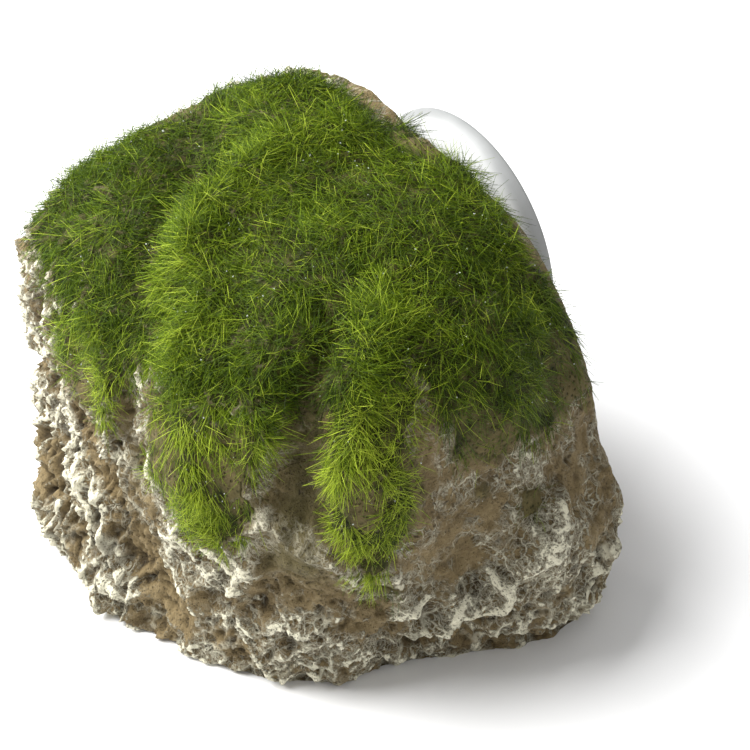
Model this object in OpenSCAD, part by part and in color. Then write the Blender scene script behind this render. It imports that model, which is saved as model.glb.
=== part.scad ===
// Moss-covered artificial rock for an aquarium, held on the glass by one suction cup.
// +X is to the right, +Y is towards the glass and +Z is up. The origin lies under the
// middle of the whole ornament, on the plane that it can stand on.

/* [Stone] */
// Reach of the casting to the left of its middle
reach_left = 46; // [42:1:50]
// Reach of the casting to the right of its middle
reach_right = 52; // [48:1:56]
// Reach of the casting to the front
reach_front = 42; // [38:1:46]
// Reach of the casting to the back, before the flat back cuts it off
reach_back = 46; // [42:1:50]
// Reach of the casting upwards
reach_up = 42; // [38:1:46]
// Reach of the casting downwards, before the flat base cuts it off
reach_down = 56; // [50:1:62]
// Height of the middle of the casting above the base
middle_h = 35; // [32:1:38]
// Distance from the middle of the casting to its flat back
back_d = 31; // [29:1:33]
// Squareness of the casting: 2 is an egg and 4 is nearly a block
squareness = 3; // [2.6:0.1:3.4]
// Thickness of the cast wall
wall_t = 9; // [8:0.5:10]
// Thickness of the cast floor
floor_t = 8; // [6:0.5:9]

/* [Back plate] */
// Thickness of the back plate
plate_t = 4; // [3:0.5:5]
// Width of the rim that the casting keeps round the back plate
plate_inset = 7; // [6:0.5:8]
// Width of the ledge that the back plate is bonded to
ledge_w = 4; // [3:0.5:5]
// Thickness of the bond under the back plate
bond_t = 0.6; // [0.4:0.1:1]
// Diameter of the vent and drain holes in the back plate
vent_d = 5; // [4:0.5:6]

/* [Suction cup] */
// Diameter of the cup at its lip
cup_d = 50; // [46:1:54]
// Depth of the cup, from its lip to the back of its skirt
cup_depth = 8; // [7:0.5:8.5]
// Height of the cup's axis above the base
cup_h = 44; // [42:1:46]
// Distance of the cup's axis to the left of the middle of the casting
cup_offset = 3; // [0:1:5]
// Gap between the cup's lip and the flat back of the stone
stand_off = 9; // [9:0.5:11]
// Diameter of the cup's neck
neck_d = 8.4; // [7:0.2:10]
// Diameter of the cup's mushroom head
head_d = 12; // [11:0.5:14]
// Length of the cup's mushroom head
head_l = 4; // [3:0.5:5]
// Radial clearance of the neck in its socket
running_gap = 0.08; // [0.04:0.01:0.1]

/* [Moss] */
// Height of the moss above its adhesive at the middle of a patch
moss_t = 3.5; // [2:0.5:5]
// Thickness of the adhesive film under the moss
film_t = 0.4; // [0.3:0.1:0.8]

/* [Hidden] */

fine = 96;                 // sides of a round part
skin_gap = 0.55;           // space between the casting and the adhesive on it
fur_gap = 0.2;             // space between the adhesive and the moss on it
edge_t = 0.8;              // height of the moss at the edge of a patch
seam = 1.2;                // degrees between two neighbouring patches
outline_n = 48;            // points round the back plate
block = 150;               // half the side of a block larger than the ornament
socket_wall = 2.6;         // wall of the socket round the head
socket_flange_w = 1.8;      // width of the socket's flange
socket_flange_t = 1.6;     // thickness of the socket's flange
socket_lip_t = 2;          // thickness of the lip that holds the head in
head_gap = 0.5;            // space round the head, along and across its axis

// Swellings and hollows of the casting: longitude, latitude, height and spread in degrees.
// Longitude 0 faces front and 90 faces right. Latitude 90 faces up.
peak = [-125, 55, 5, 20];
left_brow = [-50, 22, 5, 22];
left_waist = [-30, -3, -3, 14];
left_foot = [-22, -30, 7, 20];
front_foot = [35, -42, 3, 20];
right_heel = [105, -27, 11, 18];
right_shoulder = [125, 28, -6, 20];
back_slope = [175, 42, -6, 24];
front_tuck = [70, -42, -3, 18];
top_valley = [-60, 62, -3, 12];
front_rib = [20, 12, 2, 12];
front_groove = [50, 14, -3, 9];
right_rib = [64, 16, 2, 9];
LUMPS = [
    peak, left_brow, left_waist, left_foot, front_foot, right_heel, right_shoulder,
    back_slope, front_tuck, top_valley, front_rib, front_groove, right_rib
];

// Where the crown of moss ends: longitude and latitude, all the way round.
CROWN_EDGE = [
    [-180, 57], [-130, 50], [-90, 38], [-50, 28], [-25, 30], [0, 27], [30, 29], [50, 31],
    [70, 33], [95, 41], [130, 41], [155, 49], [180, 57]
];

function toward(lon, lat) = [sin(lon) * cos(lat), -cos(lon) * cos(lat), sin(lat)];

// Radius of a squared egg with a different reach on each side
function egg(d) = pow(
    pow(abs(d.x) / (d.x < 0 ? reach_left : reach_right), squareness)
    + pow(abs(d.y) / (d.y < 0 ? reach_front : reach_back), squareness)
    + pow(abs(d.z) / (d.z < 0 ? reach_down : reach_up), squareness),
    -1 / squareness
);

function lump(d, l) =
    let (away = acos(max(-1, min(1, d * toward(l[0], l[1])))))
    l[2] * exp(-pow(away / l[3], 2));

function sum(v, i = 0) = i < len(v) ? v[i] + sum(v, i + 1) : 0;

function stone_r(d) = egg(d) + sum([for (l = LUMPS) lump(d, l)]);

// A point on the casting's skin, seen from its middle, raised by off along the same line
function skin(d, off = 0, back = back_d, low = 0) =
    let (p = d * (stone_r(d) + off))
    [p.x, min(p.y, back), max(p.z + middle_h, low)];

// The casting's outline in its flat back, by halving the angle from the back's centre
function back_angle(turn, near = 0, far = 89, step = 12) =
    let (
        mid = (near + far) / 2,
        d = [sin(mid) * cos(turn), cos(mid), sin(mid) * sin(turn)],
        outside = stone_r(d) * cos(mid) < back_d
    )
    step == 0 ? mid
    : outside ? back_angle(turn, near, mid, step - 1)
    : back_angle(turn, mid, far, step - 1);

BACK_OUTLINE = [
    for (i = [0:outline_n - 1])
        let (
            turn = 360 * i / outline_n,
            a = back_angle(turn),
            d = [sin(a) * cos(turn), cos(a), sin(a) * sin(turn)],
            r = stone_r(d) * sin(a)
        )
        [turn, r]
];

// The outline moved inwards, kept above the floor
function inner_outline(inset) = [
    for (o = BACK_OUTLINE)
        let (r = o[1] - inset)
        [r * cos(o[0]), max(middle_h + r * sin(o[0]), inset)]
];

// The widest points of the skin give the shift that puts the origin under the middle
function widest(axis) = [
    for (lon = [0:6:354], lat = [-36:6:84]) skin(toward(lon, lat))[axis]
];
mid_x = (min(widest(0)) + max(widest(0))) / 2;
lip_y = back_d + stand_off;
mid_y = (min(widest(1)) + lip_y) / 2;
cup_x = -cup_offset;
seat_y = back_d - plate_t - bond_t;

module placed() translate([-mid_x, -mid_y, 0]) children();

// Keeps a carved casting as a single mesh at its own size
module as_cast() resize([0, 0, 0]) children();

// A closed solid from rings of points round the up axis, closed by a point at each end
module ringed(rings, top, bottom) {
    n = len(rings[0]);
    m = len(rings);
    pts = concat([for (r = rings) each r], [top, bottom]);
    faces = concat(
        [for (j = [0:m - 2], i = [0:n - 1])
            let (k = (i + 1) % n) each [
                [j * n + i, j * n + k, (j + 1) * n + k],
                [j * n + i, (j + 1) * n + k, (j + 1) * n + i]
            ]],
        [for (i = [0:n - 1]) [m * n, (i + 1) % n, i]],
        [for (i = [0:n - 1]) [m * n + 1, (m - 1) * n + i, (m - 1) * n + (i + 1) % n]]
    );
    polyhedron(points = pts, faces = faces);
}

// The casting's form with off added all round, cut off flat at the back and at the bottom
module rock(off, back, low, n) {
    step = 360 / n;
    rings = [
        for (lat = [90 - step:-step:-90 + step])
            [for (i = [0:n - 1]) skin(toward(i * step, lat), off, block, -block)]
    ];
    intersection() {
        ringed(rings, skin([0, 0, 1], off), skin([0, 0, -1], off, block, -block));
        translate([-block, back - 2 * block, low]) cube(2 * block);
    }
}

// A slab in the flat back, between two distances from the middle
module back_slab(y0, y1) {
    translate([0, y1, 0]) rotate([90, 0, 0]) linear_extrude(y1 - y0) children();
}

// A round part on the cup's axis, from its profile of radius and distance from the middle
module on_cup_axis() {
    translate([cup_x, 0, cup_h]) rotate([-90, 0, 0]) rotate_extrude($fn = fine) children();
}

module stone_shell() color([0.62, 0.55, 0.46]) placed() as_cast() difference() {
    rock(0, back_d, 0, 60);
    rock(-wall_t, seat_y - 2, floor_t, 36);
    back_slab(seat_y - 4, seat_y + 1) polygon(inner_outline(plate_inset + ledge_w));
    back_slab(seat_y, back_d + 1) polygon(inner_outline(plate_inset));
}

plate_edge = plate_inset + 0.15;
neck_r = neck_d / 2;
head_r = head_d / 2;
socket_bore_r = head_r + head_gap;
socket_r = socket_bore_r + socket_wall;
lip_face_y = back_d - socket_lip_t;
head_y0 = lip_face_y - head_gap - head_l;
socket_y0 = head_y0 - head_gap - socket_wall;

// Middles of the drain and vent holes, to the right of and above the cup's axis
drain_at = [cup_d / 4, -cup_d / 2];
vent_at = [cup_d / 2, cup_d / 12];

module back_plate() color([0.5, 0.45, 0.39]) placed() difference() {
    back_slab(seat_y + bond_t, back_d) polygon(inner_outline(plate_edge));
    translate([cup_x, back_d + 1, cup_h]) rotate([90, 0, 0])
        cylinder(r = socket_r, h = plate_t + 2, $fn = fine);
    for (hole = [drain_at, vent_at])
        translate([cup_x + hole[0], back_d + 1, cup_h + hole[1]]) rotate([90, 0, 0])
            cylinder(d = vent_d, h = plate_t + 2, $fn = fine);
}

module plate_bond() color([0.75, 0.73, 0.68]) placed() back_slab(seat_y, seat_y + bond_t)
    difference() {
        polygon(inner_outline(plate_edge));
        polygon(inner_outline(plate_inset + ledge_w));
    }

// Closed cap with a flange behind the plate and a lip in front of the cup's head
module cup_socket() color([0.16, 0.16, 0.16]) placed() on_cup_axis() polygon([
    [0, socket_y0],
    [socket_r, socket_y0],
    [socket_r, seat_y + bond_t - socket_flange_t],
    [socket_r + socket_flange_w, seat_y + bond_t - socket_flange_t],
    [socket_r + socket_flange_w, seat_y + bond_t],
    [socket_r, seat_y + bond_t],
    [socket_r, back_d],
    [neck_r + running_gap, back_d],
    [neck_r + running_gap, lip_face_y],
    [socket_bore_r, lip_face_y],
    [socket_bore_r, head_y0 - head_gap],
    [0, head_y0 - head_gap]
]);

cup_r = cup_d / 2;
skirt_back_y = lip_y - cup_depth;
skirt_mid_t = 2.4;
skirt_lip_t = 0.7;
lip_land = 1.2;

// The skirt is a dished disc: both faces are quarter-ellipse arcs from its lip to its middle
function dish(r0, r1, depth, y, n = 14) = [
    for (i = [0:n])
        let (a = 90 * i / n)
        [r1 + (r0 - r1) * sin(a), y + depth * (1 - cos(a))]
];

module suction_cup() color([0.86, 0.88, 0.88, 0.6]) placed() on_cup_axis() polygon(concat(
    [[0, head_y0], [head_r - 1, head_y0], [head_r, head_y0 + 1], [head_r, head_y0 + head_l],
        [neck_r, head_y0 + head_l], [neck_r, skirt_back_y]],
    [for (p = dish(cup_r, neck_r, cup_depth - skirt_lip_t, skirt_back_y)) if (p[0] > neck_r) p],
    [[cup_r, lip_y], [cup_r - lip_land, lip_y]],
    [for (i = [14:-1:0])
        let (
            face = dish(cup_r - lip_land, 0, cup_depth - skirt_mid_t, skirt_back_y + skirt_mid_t)
        )
        if (face[i][0] < cup_r - lip_land - 0.01) face[i]]
));

// Latitude on a line of [longitude, latitude] points
function along(line, lon, i = 0) =
    lon <= line[i + 1][0] || i == len(line) - 2
        ? let (t = (lon - line[i][0]) / (line[i + 1][0] - line[i][0]),
            s = (1 - cos(180 * max(0, min(1, t)))) / 2)
            line[i][1] + s * (line[i + 1][1] - line[i][1])
        : along(line, lon, i + 1);

function west(lon) = lon > 180 ? lon - 360 : lon;

// A layer swells from its edge to its middle; u and v run over a patch from 0 to 1
function swell(u, v) = (1 - pow(2 * abs(u - 0.5), 4)) * (1 - pow(2 * abs(v - 0.5), 4));

// The crown: a cap round the up axis, down to its edge
module crown(low, edge_h, mid_h) {
    n = 48;
    m = 9;
    function level(i, j, off) =
        let (
            lon = west(360 * i / n),
            lat = 90 - (90 - along(CROWN_EDGE, lon) - seam / 2) * j / m
        )
        skin(toward(lon, lat), off, back_d - 1);
    outer = [
        for (j = [1:m]) [for (i = [0:n - 1])
            level(i, j, low + edge_h + (mid_h - edge_h) * (1 - pow(j / m, 4)))]
    ];
    inner = [for (j = [m:-1:1]) [for (i = [0:n - 1]) level(i, j, low)]];
    ringed(concat(outer, inner), skin([0, 0, 1], low + mid_h), skin([0, 0, 1], low));
}

// A tongue: between two longitudes, from a top line of latitude down to a rounded tip
module tongue(lon0, lon1, top, tip, low, edge_h, mid_h, tip_round = 3, n = 14) {
    m = n;
    function at(i, j, off) =
        let (
            u = i / n,
            lon = lon0 + (lon1 - lon0) * u,
            high = is_list(top) ? along(top, lon) - seam / 2 : top,
            foot = tip + (high - 1 - tip) * pow(abs(2 * u - 1), tip_round),
            lat = high - (high - foot) * j / m
        )
        skin(toward(lon, lat), off, back_d - 1);
    w = n + 1;
    count = w * (m + 1);
    pts = concat(
        [for (j = [0:m], i = [0:n])
            at(i, j, low + edge_h + (mid_h - edge_h) * swell(i / n, j / m))],
        [for (j = [0:m], i = [0:n]) at(i, j, low)]
    );
    rim = concat(
        [for (i = [0:n - 1]) i],
        [for (j = [0:m - 1]) j * w + n],
        [for (i = [n:-1:1]) m * w + i],
        [for (j = [m:-1:1]) j * w]
    );
    faces = concat(
        [for (j = [0:m - 1], i = [0:n - 1])
            let (a = j * w + i) each [[a, a + 1, a + w + 1], [a, a + w + 1, a + w]]],
        [for (j = [0:m - 1], i = [0:n - 1])
            let (a = count + j * w + i) each [[a + w + 1, a + 1, a], [a + w, a + w + 1, a]]],
        [for (k = [0:len(rim) - 1])
            let (a = rim[k], b = rim[(k + 1) % len(rim)]) each [
                [b, a, a + count], [b, a + count, b + count]
            ]]
    );
    polyhedron(points = pts, faces = faces);
}

// The patches below the crown: first and last longitude, and latitude of the tip
left_runner = [-25, 2, 6];
centre_runner = [13, 46, -4];
right_runner = [55, 76, -1];
right_apron = [78, 132, 12];

module runner(r, low, edge_h, mid_h, tip_round = 3)
    tongue(r[0], r[1], CROWN_EDGE, r[2], low, edge_h, mid_h, tip_round);

// Stray tufts: longitude and latitude of the middle of each
STRAYS = [[88, 6], [99, -1], [66, -9], [8, 2]];
stray_w = 6;

module strays(low, edge_h, mid_h)
    for (s = STRAYS)
        tongue(s[0] - stray_w / 2, s[0] + stray_w / 2, s[1] + stray_w / 2,
            s[1] - stray_w / 2, low, edge_h, mid_h, 2, 6);

module film() color([0.55, 0.6, 0.42]) placed() children();
module fur() color([0.38, 0.52, 0.12]) placed() children();
fur_low = skin_gap + film_t + fur_gap;

module adhesive_crown() film() crown(skin_gap, film_t, film_t);
module adhesive_left_runner() film() runner(left_runner, skin_gap, film_t, film_t);
module adhesive_centre_runner() film() runner(centre_runner, skin_gap, film_t, film_t);
module adhesive_right_runner() film() runner(right_runner, skin_gap, film_t, film_t);
module adhesive_right_apron() film() runner(right_apron, skin_gap, film_t, film_t, 6);
module adhesive_stray_tufts() film() strays(skin_gap, film_t, film_t);
module moss_crown() fur() crown(fur_low, edge_t, moss_t);
module moss_left_runner() fur() runner(left_runner, fur_low, edge_t, moss_t);
module moss_centre_runner() fur() runner(centre_runner, fur_low, edge_t, moss_t);
module moss_right_runner() fur() runner(right_runner, fur_low, edge_t, moss_t);
module moss_right_apron() fur() runner(right_apron, fur_low, edge_t, moss_t, 6);
module moss_stray_tufts() fur() strays(fur_low, edge_t, moss_t / 2);

stone_shell();
back_plate();
plate_bond();
cup_socket();
suction_cup();
adhesive_crown();
adhesive_left_runner();
adhesive_centre_runner();
adhesive_right_runner();
adhesive_right_apron();
adhesive_stray_tufts();
moss_crown();
moss_left_runner();
moss_centre_runner();
moss_right_runner();
moss_right_apron();
moss_stray_tufts();
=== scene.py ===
"""Looks of a moss-covered artificial rock with a suction cup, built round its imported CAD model."""

import logging
import math
from dataclasses import dataclass, field
from enum import Enum
from typing import Optional, Sequence, Union

import bmesh
import bpy
import numpy as np
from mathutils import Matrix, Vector, geometry
from mathutils.bvhtree import BVHTree


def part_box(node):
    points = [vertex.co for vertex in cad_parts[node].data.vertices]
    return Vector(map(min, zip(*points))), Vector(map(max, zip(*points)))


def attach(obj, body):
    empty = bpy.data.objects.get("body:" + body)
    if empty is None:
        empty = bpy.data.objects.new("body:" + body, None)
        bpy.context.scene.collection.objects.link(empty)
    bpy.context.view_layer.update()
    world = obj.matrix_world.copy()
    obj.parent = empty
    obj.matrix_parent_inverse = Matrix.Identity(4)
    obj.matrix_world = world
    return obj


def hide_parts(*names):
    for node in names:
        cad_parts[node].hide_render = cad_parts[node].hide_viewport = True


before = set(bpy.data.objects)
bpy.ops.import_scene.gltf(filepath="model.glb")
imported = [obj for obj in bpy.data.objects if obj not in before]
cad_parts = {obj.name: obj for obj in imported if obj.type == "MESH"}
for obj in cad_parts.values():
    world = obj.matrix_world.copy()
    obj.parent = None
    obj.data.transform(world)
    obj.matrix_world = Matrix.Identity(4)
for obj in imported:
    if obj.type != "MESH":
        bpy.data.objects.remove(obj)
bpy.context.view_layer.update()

LOG = logging.getLogger("moss_rock")
MM = 0.001
UP = np.array([0.0, 0.0, 1.0])
LAYOUT = "OFBake"

Array = np.ndarray
Colour = tuple[float, float, float]
Linkable = Union[float, Sequence[float], "Socket"]


class Slot(Enum):
    """The record's finishes."""

    STONE = "cast_stone"
    RESIN = "plain_resin"
    BOND = "bond"
    SOCKET = "socket_plastic"
    CUP = "clear_pvc"
    GLUE = "clear_adhesive"
    MOSS = "moss_fibre"


# ---------------------------------------------------------------- shader maths


class Socket:
    """A shader output that can be used in Python expressions."""

    def __init__(self, shader: "Shader", out: bpy.types.NodeSocket) -> None:
        """Wraps an output.

        Args:
            shader: The shader that owns the node.
            out: The node's output socket.
        """
        self.shader = shader
        self.out = out

    def _math(self, operation: str, *values: Linkable) -> "Socket":
        """Adds a Math node.

        Args:
            operation: The node's operation.
            values: Its inputs, in order.

        Returns:
            The node's result.
        """
        inputs = dict(enumerate(values))
        return self.shader.node("ShaderNodeMath", {"operation": operation}, inputs)

    def __add__(self, other: Linkable) -> "Socket":
        """Adds two values."""
        return self._math("ADD", self, other)

    def __radd__(self, other: Linkable) -> "Socket":
        """Adds two values."""
        return self._math("ADD", other, self)

    def __sub__(self, other: Linkable) -> "Socket":
        """Subtracts other from this value."""
        return self._math("SUBTRACT", self, other)

    def __rsub__(self, other: Linkable) -> "Socket":
        """Subtracts this value from other."""
        return self._math("SUBTRACT", other, self)

    def __mul__(self, other: Linkable) -> "Socket":
        """Multiplies two values."""
        return self._math("MULTIPLY", self, other)

    def __truediv__(self, other: Linkable) -> "Socket":
        """Divides this value by other."""
        return self._math("DIVIDE", self, other)

    def clamp(self) -> "Socket":
        """Keeps the value between 0 and 1."""
        return self._math("MINIMUM", self._math("MAXIMUM", self, 0.0), 1.0)

    def size(self) -> "Socket":
        """Drops the value's sign."""
        return self._math("ABSOLUTE", self)

    def at_least(self, other: Linkable) -> "Socket":
        """Gives the larger of two values."""
        return self._math("MAXIMUM", self, other)

    def above(self, edge: float, soft: float) -> "Socket":
        """Rises from 0 to 1 as the value passes an edge.

        Args:
            edge: Where the rise begins.
            soft: How far the rise takes.

        Returns:
            The mask.
        """
        return ((self - edge) / soft).clamp()


class Shader:
    """A material under construction, with one method for every kind of node."""

    def __init__(self, name: str) -> None:
        """Starts an empty material.

        Args:
            name: The material's name.
        """
        self.material = bpy.data.materials.new(name)
        self.material.use_nodes = True
        self.tree = self.material.node_tree
        self.tree.nodes.clear()

    def node(
        self,
        kind: str,
        settings: Optional[dict] = None,
        inputs: Optional[dict] = None,
        output: Union[int, str] = 0,
    ) -> Socket:
        """Adds a node.

        Args:
            kind: The node's type.
            settings: Properties to set first; "stops" gives a ramp's positions and colours.
            inputs: Values or links for its sockets, by name or number.
            output: The output to hand back.

        Returns:
            The chosen output.
        """
        made = self.tree.nodes.new(kind)
        for key, value in (settings or {}).items():
            if key == "stops":
                self._stops(made.color_ramp, value)
            else:
                setattr(made, key, value)
        for key, value in (inputs or {}).items():
            self._feed(made.inputs[key], value)
        return Socket(self, made.outputs[output])

    def _feed(self, target: bpy.types.NodeSocket, value: Linkable) -> None:
        """Links or sets one input.

        Args:
            target: The input.
            value: A link or a constant.
        """
        if isinstance(value, Socket):
            self.tree.links.new(value.out, target)
        elif isinstance(value, (tuple, list)) and target.type == "RGBA" and len(value) == 3:
            target.default_value = (*value, 1.0)
        else:
            target.default_value = value

    @staticmethod
    def _stops(ramp: bpy.types.ColorRamp, stops: Sequence[tuple[float, Colour]]) -> None:
        """Sets a ramp's stops.

        Args:
            ramp: The ramp.
            stops: Position and colour of each stop.
        """
        while len(ramp.elements) < len(stops):
            ramp.elements.new(1.0)
        for element, (position, colour) in zip(ramp.elements, stops):
            element.position = position
            element.color = (*colour, 1.0)

    def attribute(self, name: str) -> Socket:
        """Reads a number stored on the mesh."""
        return self.node("ShaderNodeAttribute", {"attribute_name": name}, output="Fac")

    def place(self) -> Socket:
        """Gives the point's own coordinates, in metres."""
        return self.node("ShaderNodeTexCoord", output="Object")

    def noise(
        self, scale: float, detail: float = 4.0, rough: float = 0.55, warp: float = 0.0
    ) -> Socket:
        """Gives fractal noise.

        Args:
            scale: Size of one swell in millimetres.
            detail: Number of octaves.
            rough: Strength of each octave against the last.
            warp: Distortion.

        Returns:
            The noise, from 0 to 1.
        """
        inputs = {
            "Vector": self.place(),
            "Scale": 1.0 / (scale * MM),
            "Detail": detail,
            "Roughness": rough,
            "Distortion": warp,
        }
        return self.node("ShaderNodeTexNoise", {}, inputs)

    def warped(self, scale: float, amount: float) -> Socket:
        """Gives the point's own coordinates, pushed about by noise.

        Args:
            scale: Size of one swell in millimetres.
            amount: How far points move, in millimetres.

        Returns:
            The moved coordinates.
        """
        inputs = {"Vector": self.place(), "Scale": 1.0 / (scale * MM), "Detail": 3.0}
        push = self.node("ShaderNodeTexNoise", {}, inputs, "Color")
        push = self._vector("SUBTRACT", {0: push, 1: (0.5, 0.5, 0.5)})
        push = self._vector("SCALE", {0: push, "Scale": amount * MM})
        return self._vector("ADD", {0: self.place(), 1: push})

    def _vector(self, operation: str, inputs: dict) -> Socket:
        """Adds a Vector Math node."""
        return self.node("ShaderNodeVectorMath", {"operation": operation}, inputs)

    def cells(self, scale: float, feature: str = "F1", at: Optional[Socket] = None) -> Socket:
        """Gives distances in a cell pattern.

        Args:
            scale: Size of one cell in millimetres.
            feature: Which distance is measured.
            at: Where the pattern is read, the point's own coordinates by default.

        Returns:
            The distance, in cells.
        """
        inputs = {"Vector": at or self.place(), "Scale": 1.0 / (scale * MM)}
        return self.node("ShaderNodeTexVoronoi", {"feature": feature}, inputs, "Distance")

    def mix(self, factor: Linkable, low: Linkable, high: Linkable) -> Socket:
        """Mixes two colours.

        Args:
            factor: Share of the second.
            low: The first colour.
            high: The second colour.

        Returns:
            The mixed colour.
        """
        settings = {"data_type": "RGBA", "blend_type": "MIX", "clamp_factor": True}
        return self.node("ShaderNodeMix", settings, {0: factor, 6: low, 7: high}, 2)

    def ramp(self, value: Linkable, stops: Sequence[tuple[float, Colour]]) -> Socket:
        """Turns a value into a colour.

        Args:
            value: The value, from 0 to 1.
            stops: Position and colour of each stop.

        Returns:
            The colour.
        """
        return self.node("ShaderNodeValToRGB", {"stops": stops}, {"Fac": value})

    def bump(self, height: Linkable, depth: float, strength: float = 1.0) -> Socket:
        """Turns a height from 0 to 1 into a bent normal.

        Args:
            height: The height.
            depth: Height of 1 in millimetres.
            strength: How much of it is used.

        Returns:
            The normal.
        """
        inputs = {"Height": height, "Distance": depth * MM, "Strength": strength}
        return self.node("ShaderNodeBump", {}, inputs)

    def finish(self, **values: Linkable) -> bpy.types.Material:
        """Closes the material with one principled shader.

        Args:
            values: Its sockets, with spaces written as underscores.

        Returns:
            The material.
        """
        inputs = {key.replace("_", " "): value for key, value in values.items()}
        surface = self.node("ShaderNodeBsdfPrincipled", {}, inputs, "BSDF")
        out = self.tree.nodes.new("ShaderNodeOutputMaterial")
        self.tree.links.new(surface.out, out.inputs["Surface"])
        return self.material


# ---------------------------------------------------------------- finishes


@dataclass(frozen=True)
class TufaFinish:
    """Cast porous stone: brown body, pale dry-brushed crests, and pores and hollows darkened as
    painted shade.
    """

    # dark is the darkest body tone and also the colour of the painted shade in pores, specks and
    # hollows.
    dark: Colour = (0.038, 0.026, 0.011)
    body: Colour = (0.176, 0.128, 0.058)
    tan: Colour = (0.31, 0.24, 0.128)
    cream: Colour = (0.8, 0.765, 0.59)
    moss_stain: Colour = (0.06, 0.056, 0.013)
    pore: float = 1.3
    grain: float = 0.55
    wide_cell: float = 3.6
    fine_cell: float = 1.7
    thread: float = 0.046

    def make(self) -> bpy.types.Material:
        """Builds the material."""
        s = Shader("cast_tufa")
        crest = s.attribute("crest")
        chalk = s.attribute("chalk")
        hollow = s.attribute("hollow")
        stain = s.attribute("stain")
        broad = s.noise(9.0, 5.0, 0.6)
        grit = s.noise(self.grain, 3.0, 0.7)
        crumbs = s.noise(0.9, 5.0, 0.75)
        gate = s.noise(6.0, 3.0, 0.6)
        web = s.attribute("web")
        wide_web = self._line(s.noise(4.2, 6.0, 0.68, 1.2), self.thread)
        bent = s.warped(2.6, 3.0)
        pores = s.cells(self.pore, at=bent)
        fine_pores = s.cells(self.pore * 0.42, at=bent)
        walls = 1.0 - s.cells(self.wide_cell, "DISTANCE_TO_EDGE", at=bent).above(0.01, 0.05)
        fine_walls = 1.0 - s.cells(self.fine_cell, "DISTANCE_TO_EDGE", at=bent).above(0.015, 0.075)
        pore_mask = (1.0 - pores.above(0.12, 0.16)) * (gate * 4.0 - 1.5).clamp()
        speck_mask = (1.0 - fine_pores.above(0.12, 0.2)) * 0.75
        tone = broad * 0.8 + grit * 0.4 + crest * 0.35 - 0.33
        body = s.ramp(tone, ((0.16, self.dark), (0.42, self.body), (0.8, self.tan)))
        body = s.mix(stain * 0.8, body, self.moss_stain)
        worn = (crest * 1.9 + chalk * 1.35 + crumbs * 2.4 - 3.22).above(0.0, 0.35)
        open_gate = (gate * 5.0 + chalk * 2.8 - 2.75).clamp()
        fine_gate = (s.noise(4.0, 3.0, 0.6) * 6.0 + chalk * 2.0 - 3.4).clamp()
        threads = (wide_web * 0.8).at_least(walls).at_least(fine_walls * fine_gate * 0.8)
        threads = threads * open_gate * (crumbs * 3.4 - 0.85).clamp()
        threads = threads.at_least((web * 1.8 + crumbs * 1.7 - 1.5).clamp() * open_gate)
        pale = (worn * 0.95).at_least(threads * 0.98)
        pale = pale * (1.0 - pore_mask * 0.6) * (1.0 - speck_mask * 0.35) * (1.0 - stain * 0.85)
        chalky = s.mix(grit, self.tan, self.cream)
        chalky = s.mix(0.55 + crumbs * 0.6, chalky, self.cream)
        shade = s.mix(pale, body, chalky)
        # Painted shade: pores, fine specks and the deep hollows are darkened toward the dark colour,
        # for the shade that falls in them.
        dark = (pore_mask * 0.7).at_least(speck_mask * (0.85 - pale * 0.5)).at_least(hollow * 0.75)
        shade = s.mix(dark, shade, self.dark)
        height = grit * 0.6 + crumbs * 0.9 + pale * 0.9 - pore_mask * 0.9 - speck_mask * 0.5
        rough = 0.9 - pale * 0.12 - stain * 0.15
        return s.finish(
            Base_Color=shade,
            Roughness=rough,
            Normal=s.bump(height, 0.6, 1.0),
            Specular_IOR_Level=0.35,
        )

    @staticmethod
    def _line(noise: Socket, width: float) -> Socket:
        """Gives thin threads where noise crosses its middle.

        Args:
            noise: The noise.
            width: Half a thread's width, as noise.

        Returns:
            The threads.
        """
        return (1.0 - (noise - 0.5).size() / width).clamp()


@dataclass(frozen=True)
class ResinFinish:
    """Plain grey-brown cast resin with trowel marks and a few bubbles."""

    low: Colour = (0.115, 0.09, 0.068)
    high: Colour = (0.24, 0.2, 0.158)
    bubble: float = 1.9

    def make(self) -> bpy.types.Material:
        """Builds the material."""
        s = Shader("plain_resin")
        broad = s.noise(7.0, 4.0, 0.6, 0.4)
        grit = s.noise(0.5, 3.0, 0.7)
        bubbles = 1.0 - s.cells(self.bubble).above(0.08, 0.08)
        shade = s.ramp(broad * 0.8 + grit * 0.25, ((0.3, self.low), (0.72, self.high)))
        # Painted shade: the bubble pits are darkened toward the low colour.
        shade = s.mix(bubbles * 0.4, shade, self.low)
        height = grit * 0.5 + broad * 0.6 - bubbles * 0.8
        return s.finish(
            Base_Color=shade, Roughness=0.68 + grit * 0.15, Normal=s.bump(height, 0.3, 0.7)
        )


@dataclass(frozen=True)
class BondFinish:
    """Pale cured glue that was wiped with a finger."""

    low: Colour = (0.33, 0.3, 0.25)
    high: Colour = (0.5, 0.47, 0.4)

    def make(self) -> bpy.types.Material:
        """Builds the material."""
        s = Shader("cured_bond")
        smear = s.noise(2.5, 4.0, 0.6, 0.6)
        shade = s.ramp(smear, ((0.3, self.low), (0.7, self.high)))
        return s.finish(
            Base_Color=shade, Roughness=0.42 + smear * 0.2, Normal=s.bump(smear, 0.25, 0.7)
        )


@dataclass(frozen=True)
class SocketFinish:
    """Moulded black plastic with a fine texture."""

    low: Colour = (0.012, 0.012, 0.013)
    high: Colour = (0.03, 0.03, 0.031)

    def make(self) -> bpy.types.Material:
        """Builds the material."""
        s = Shader("socket_plastic")
        cloud = s.noise(3.0, 3.0)
        grain = s.noise(0.25, 2.0)
        shade = s.ramp(cloud, ((0.3, self.low), (0.7, self.high)))
        return s.finish(
            Base_Color=shade, Roughness=0.42 + cloud * 0.18, Normal=s.bump(grain, 0.04, 0.5)
        )


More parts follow.
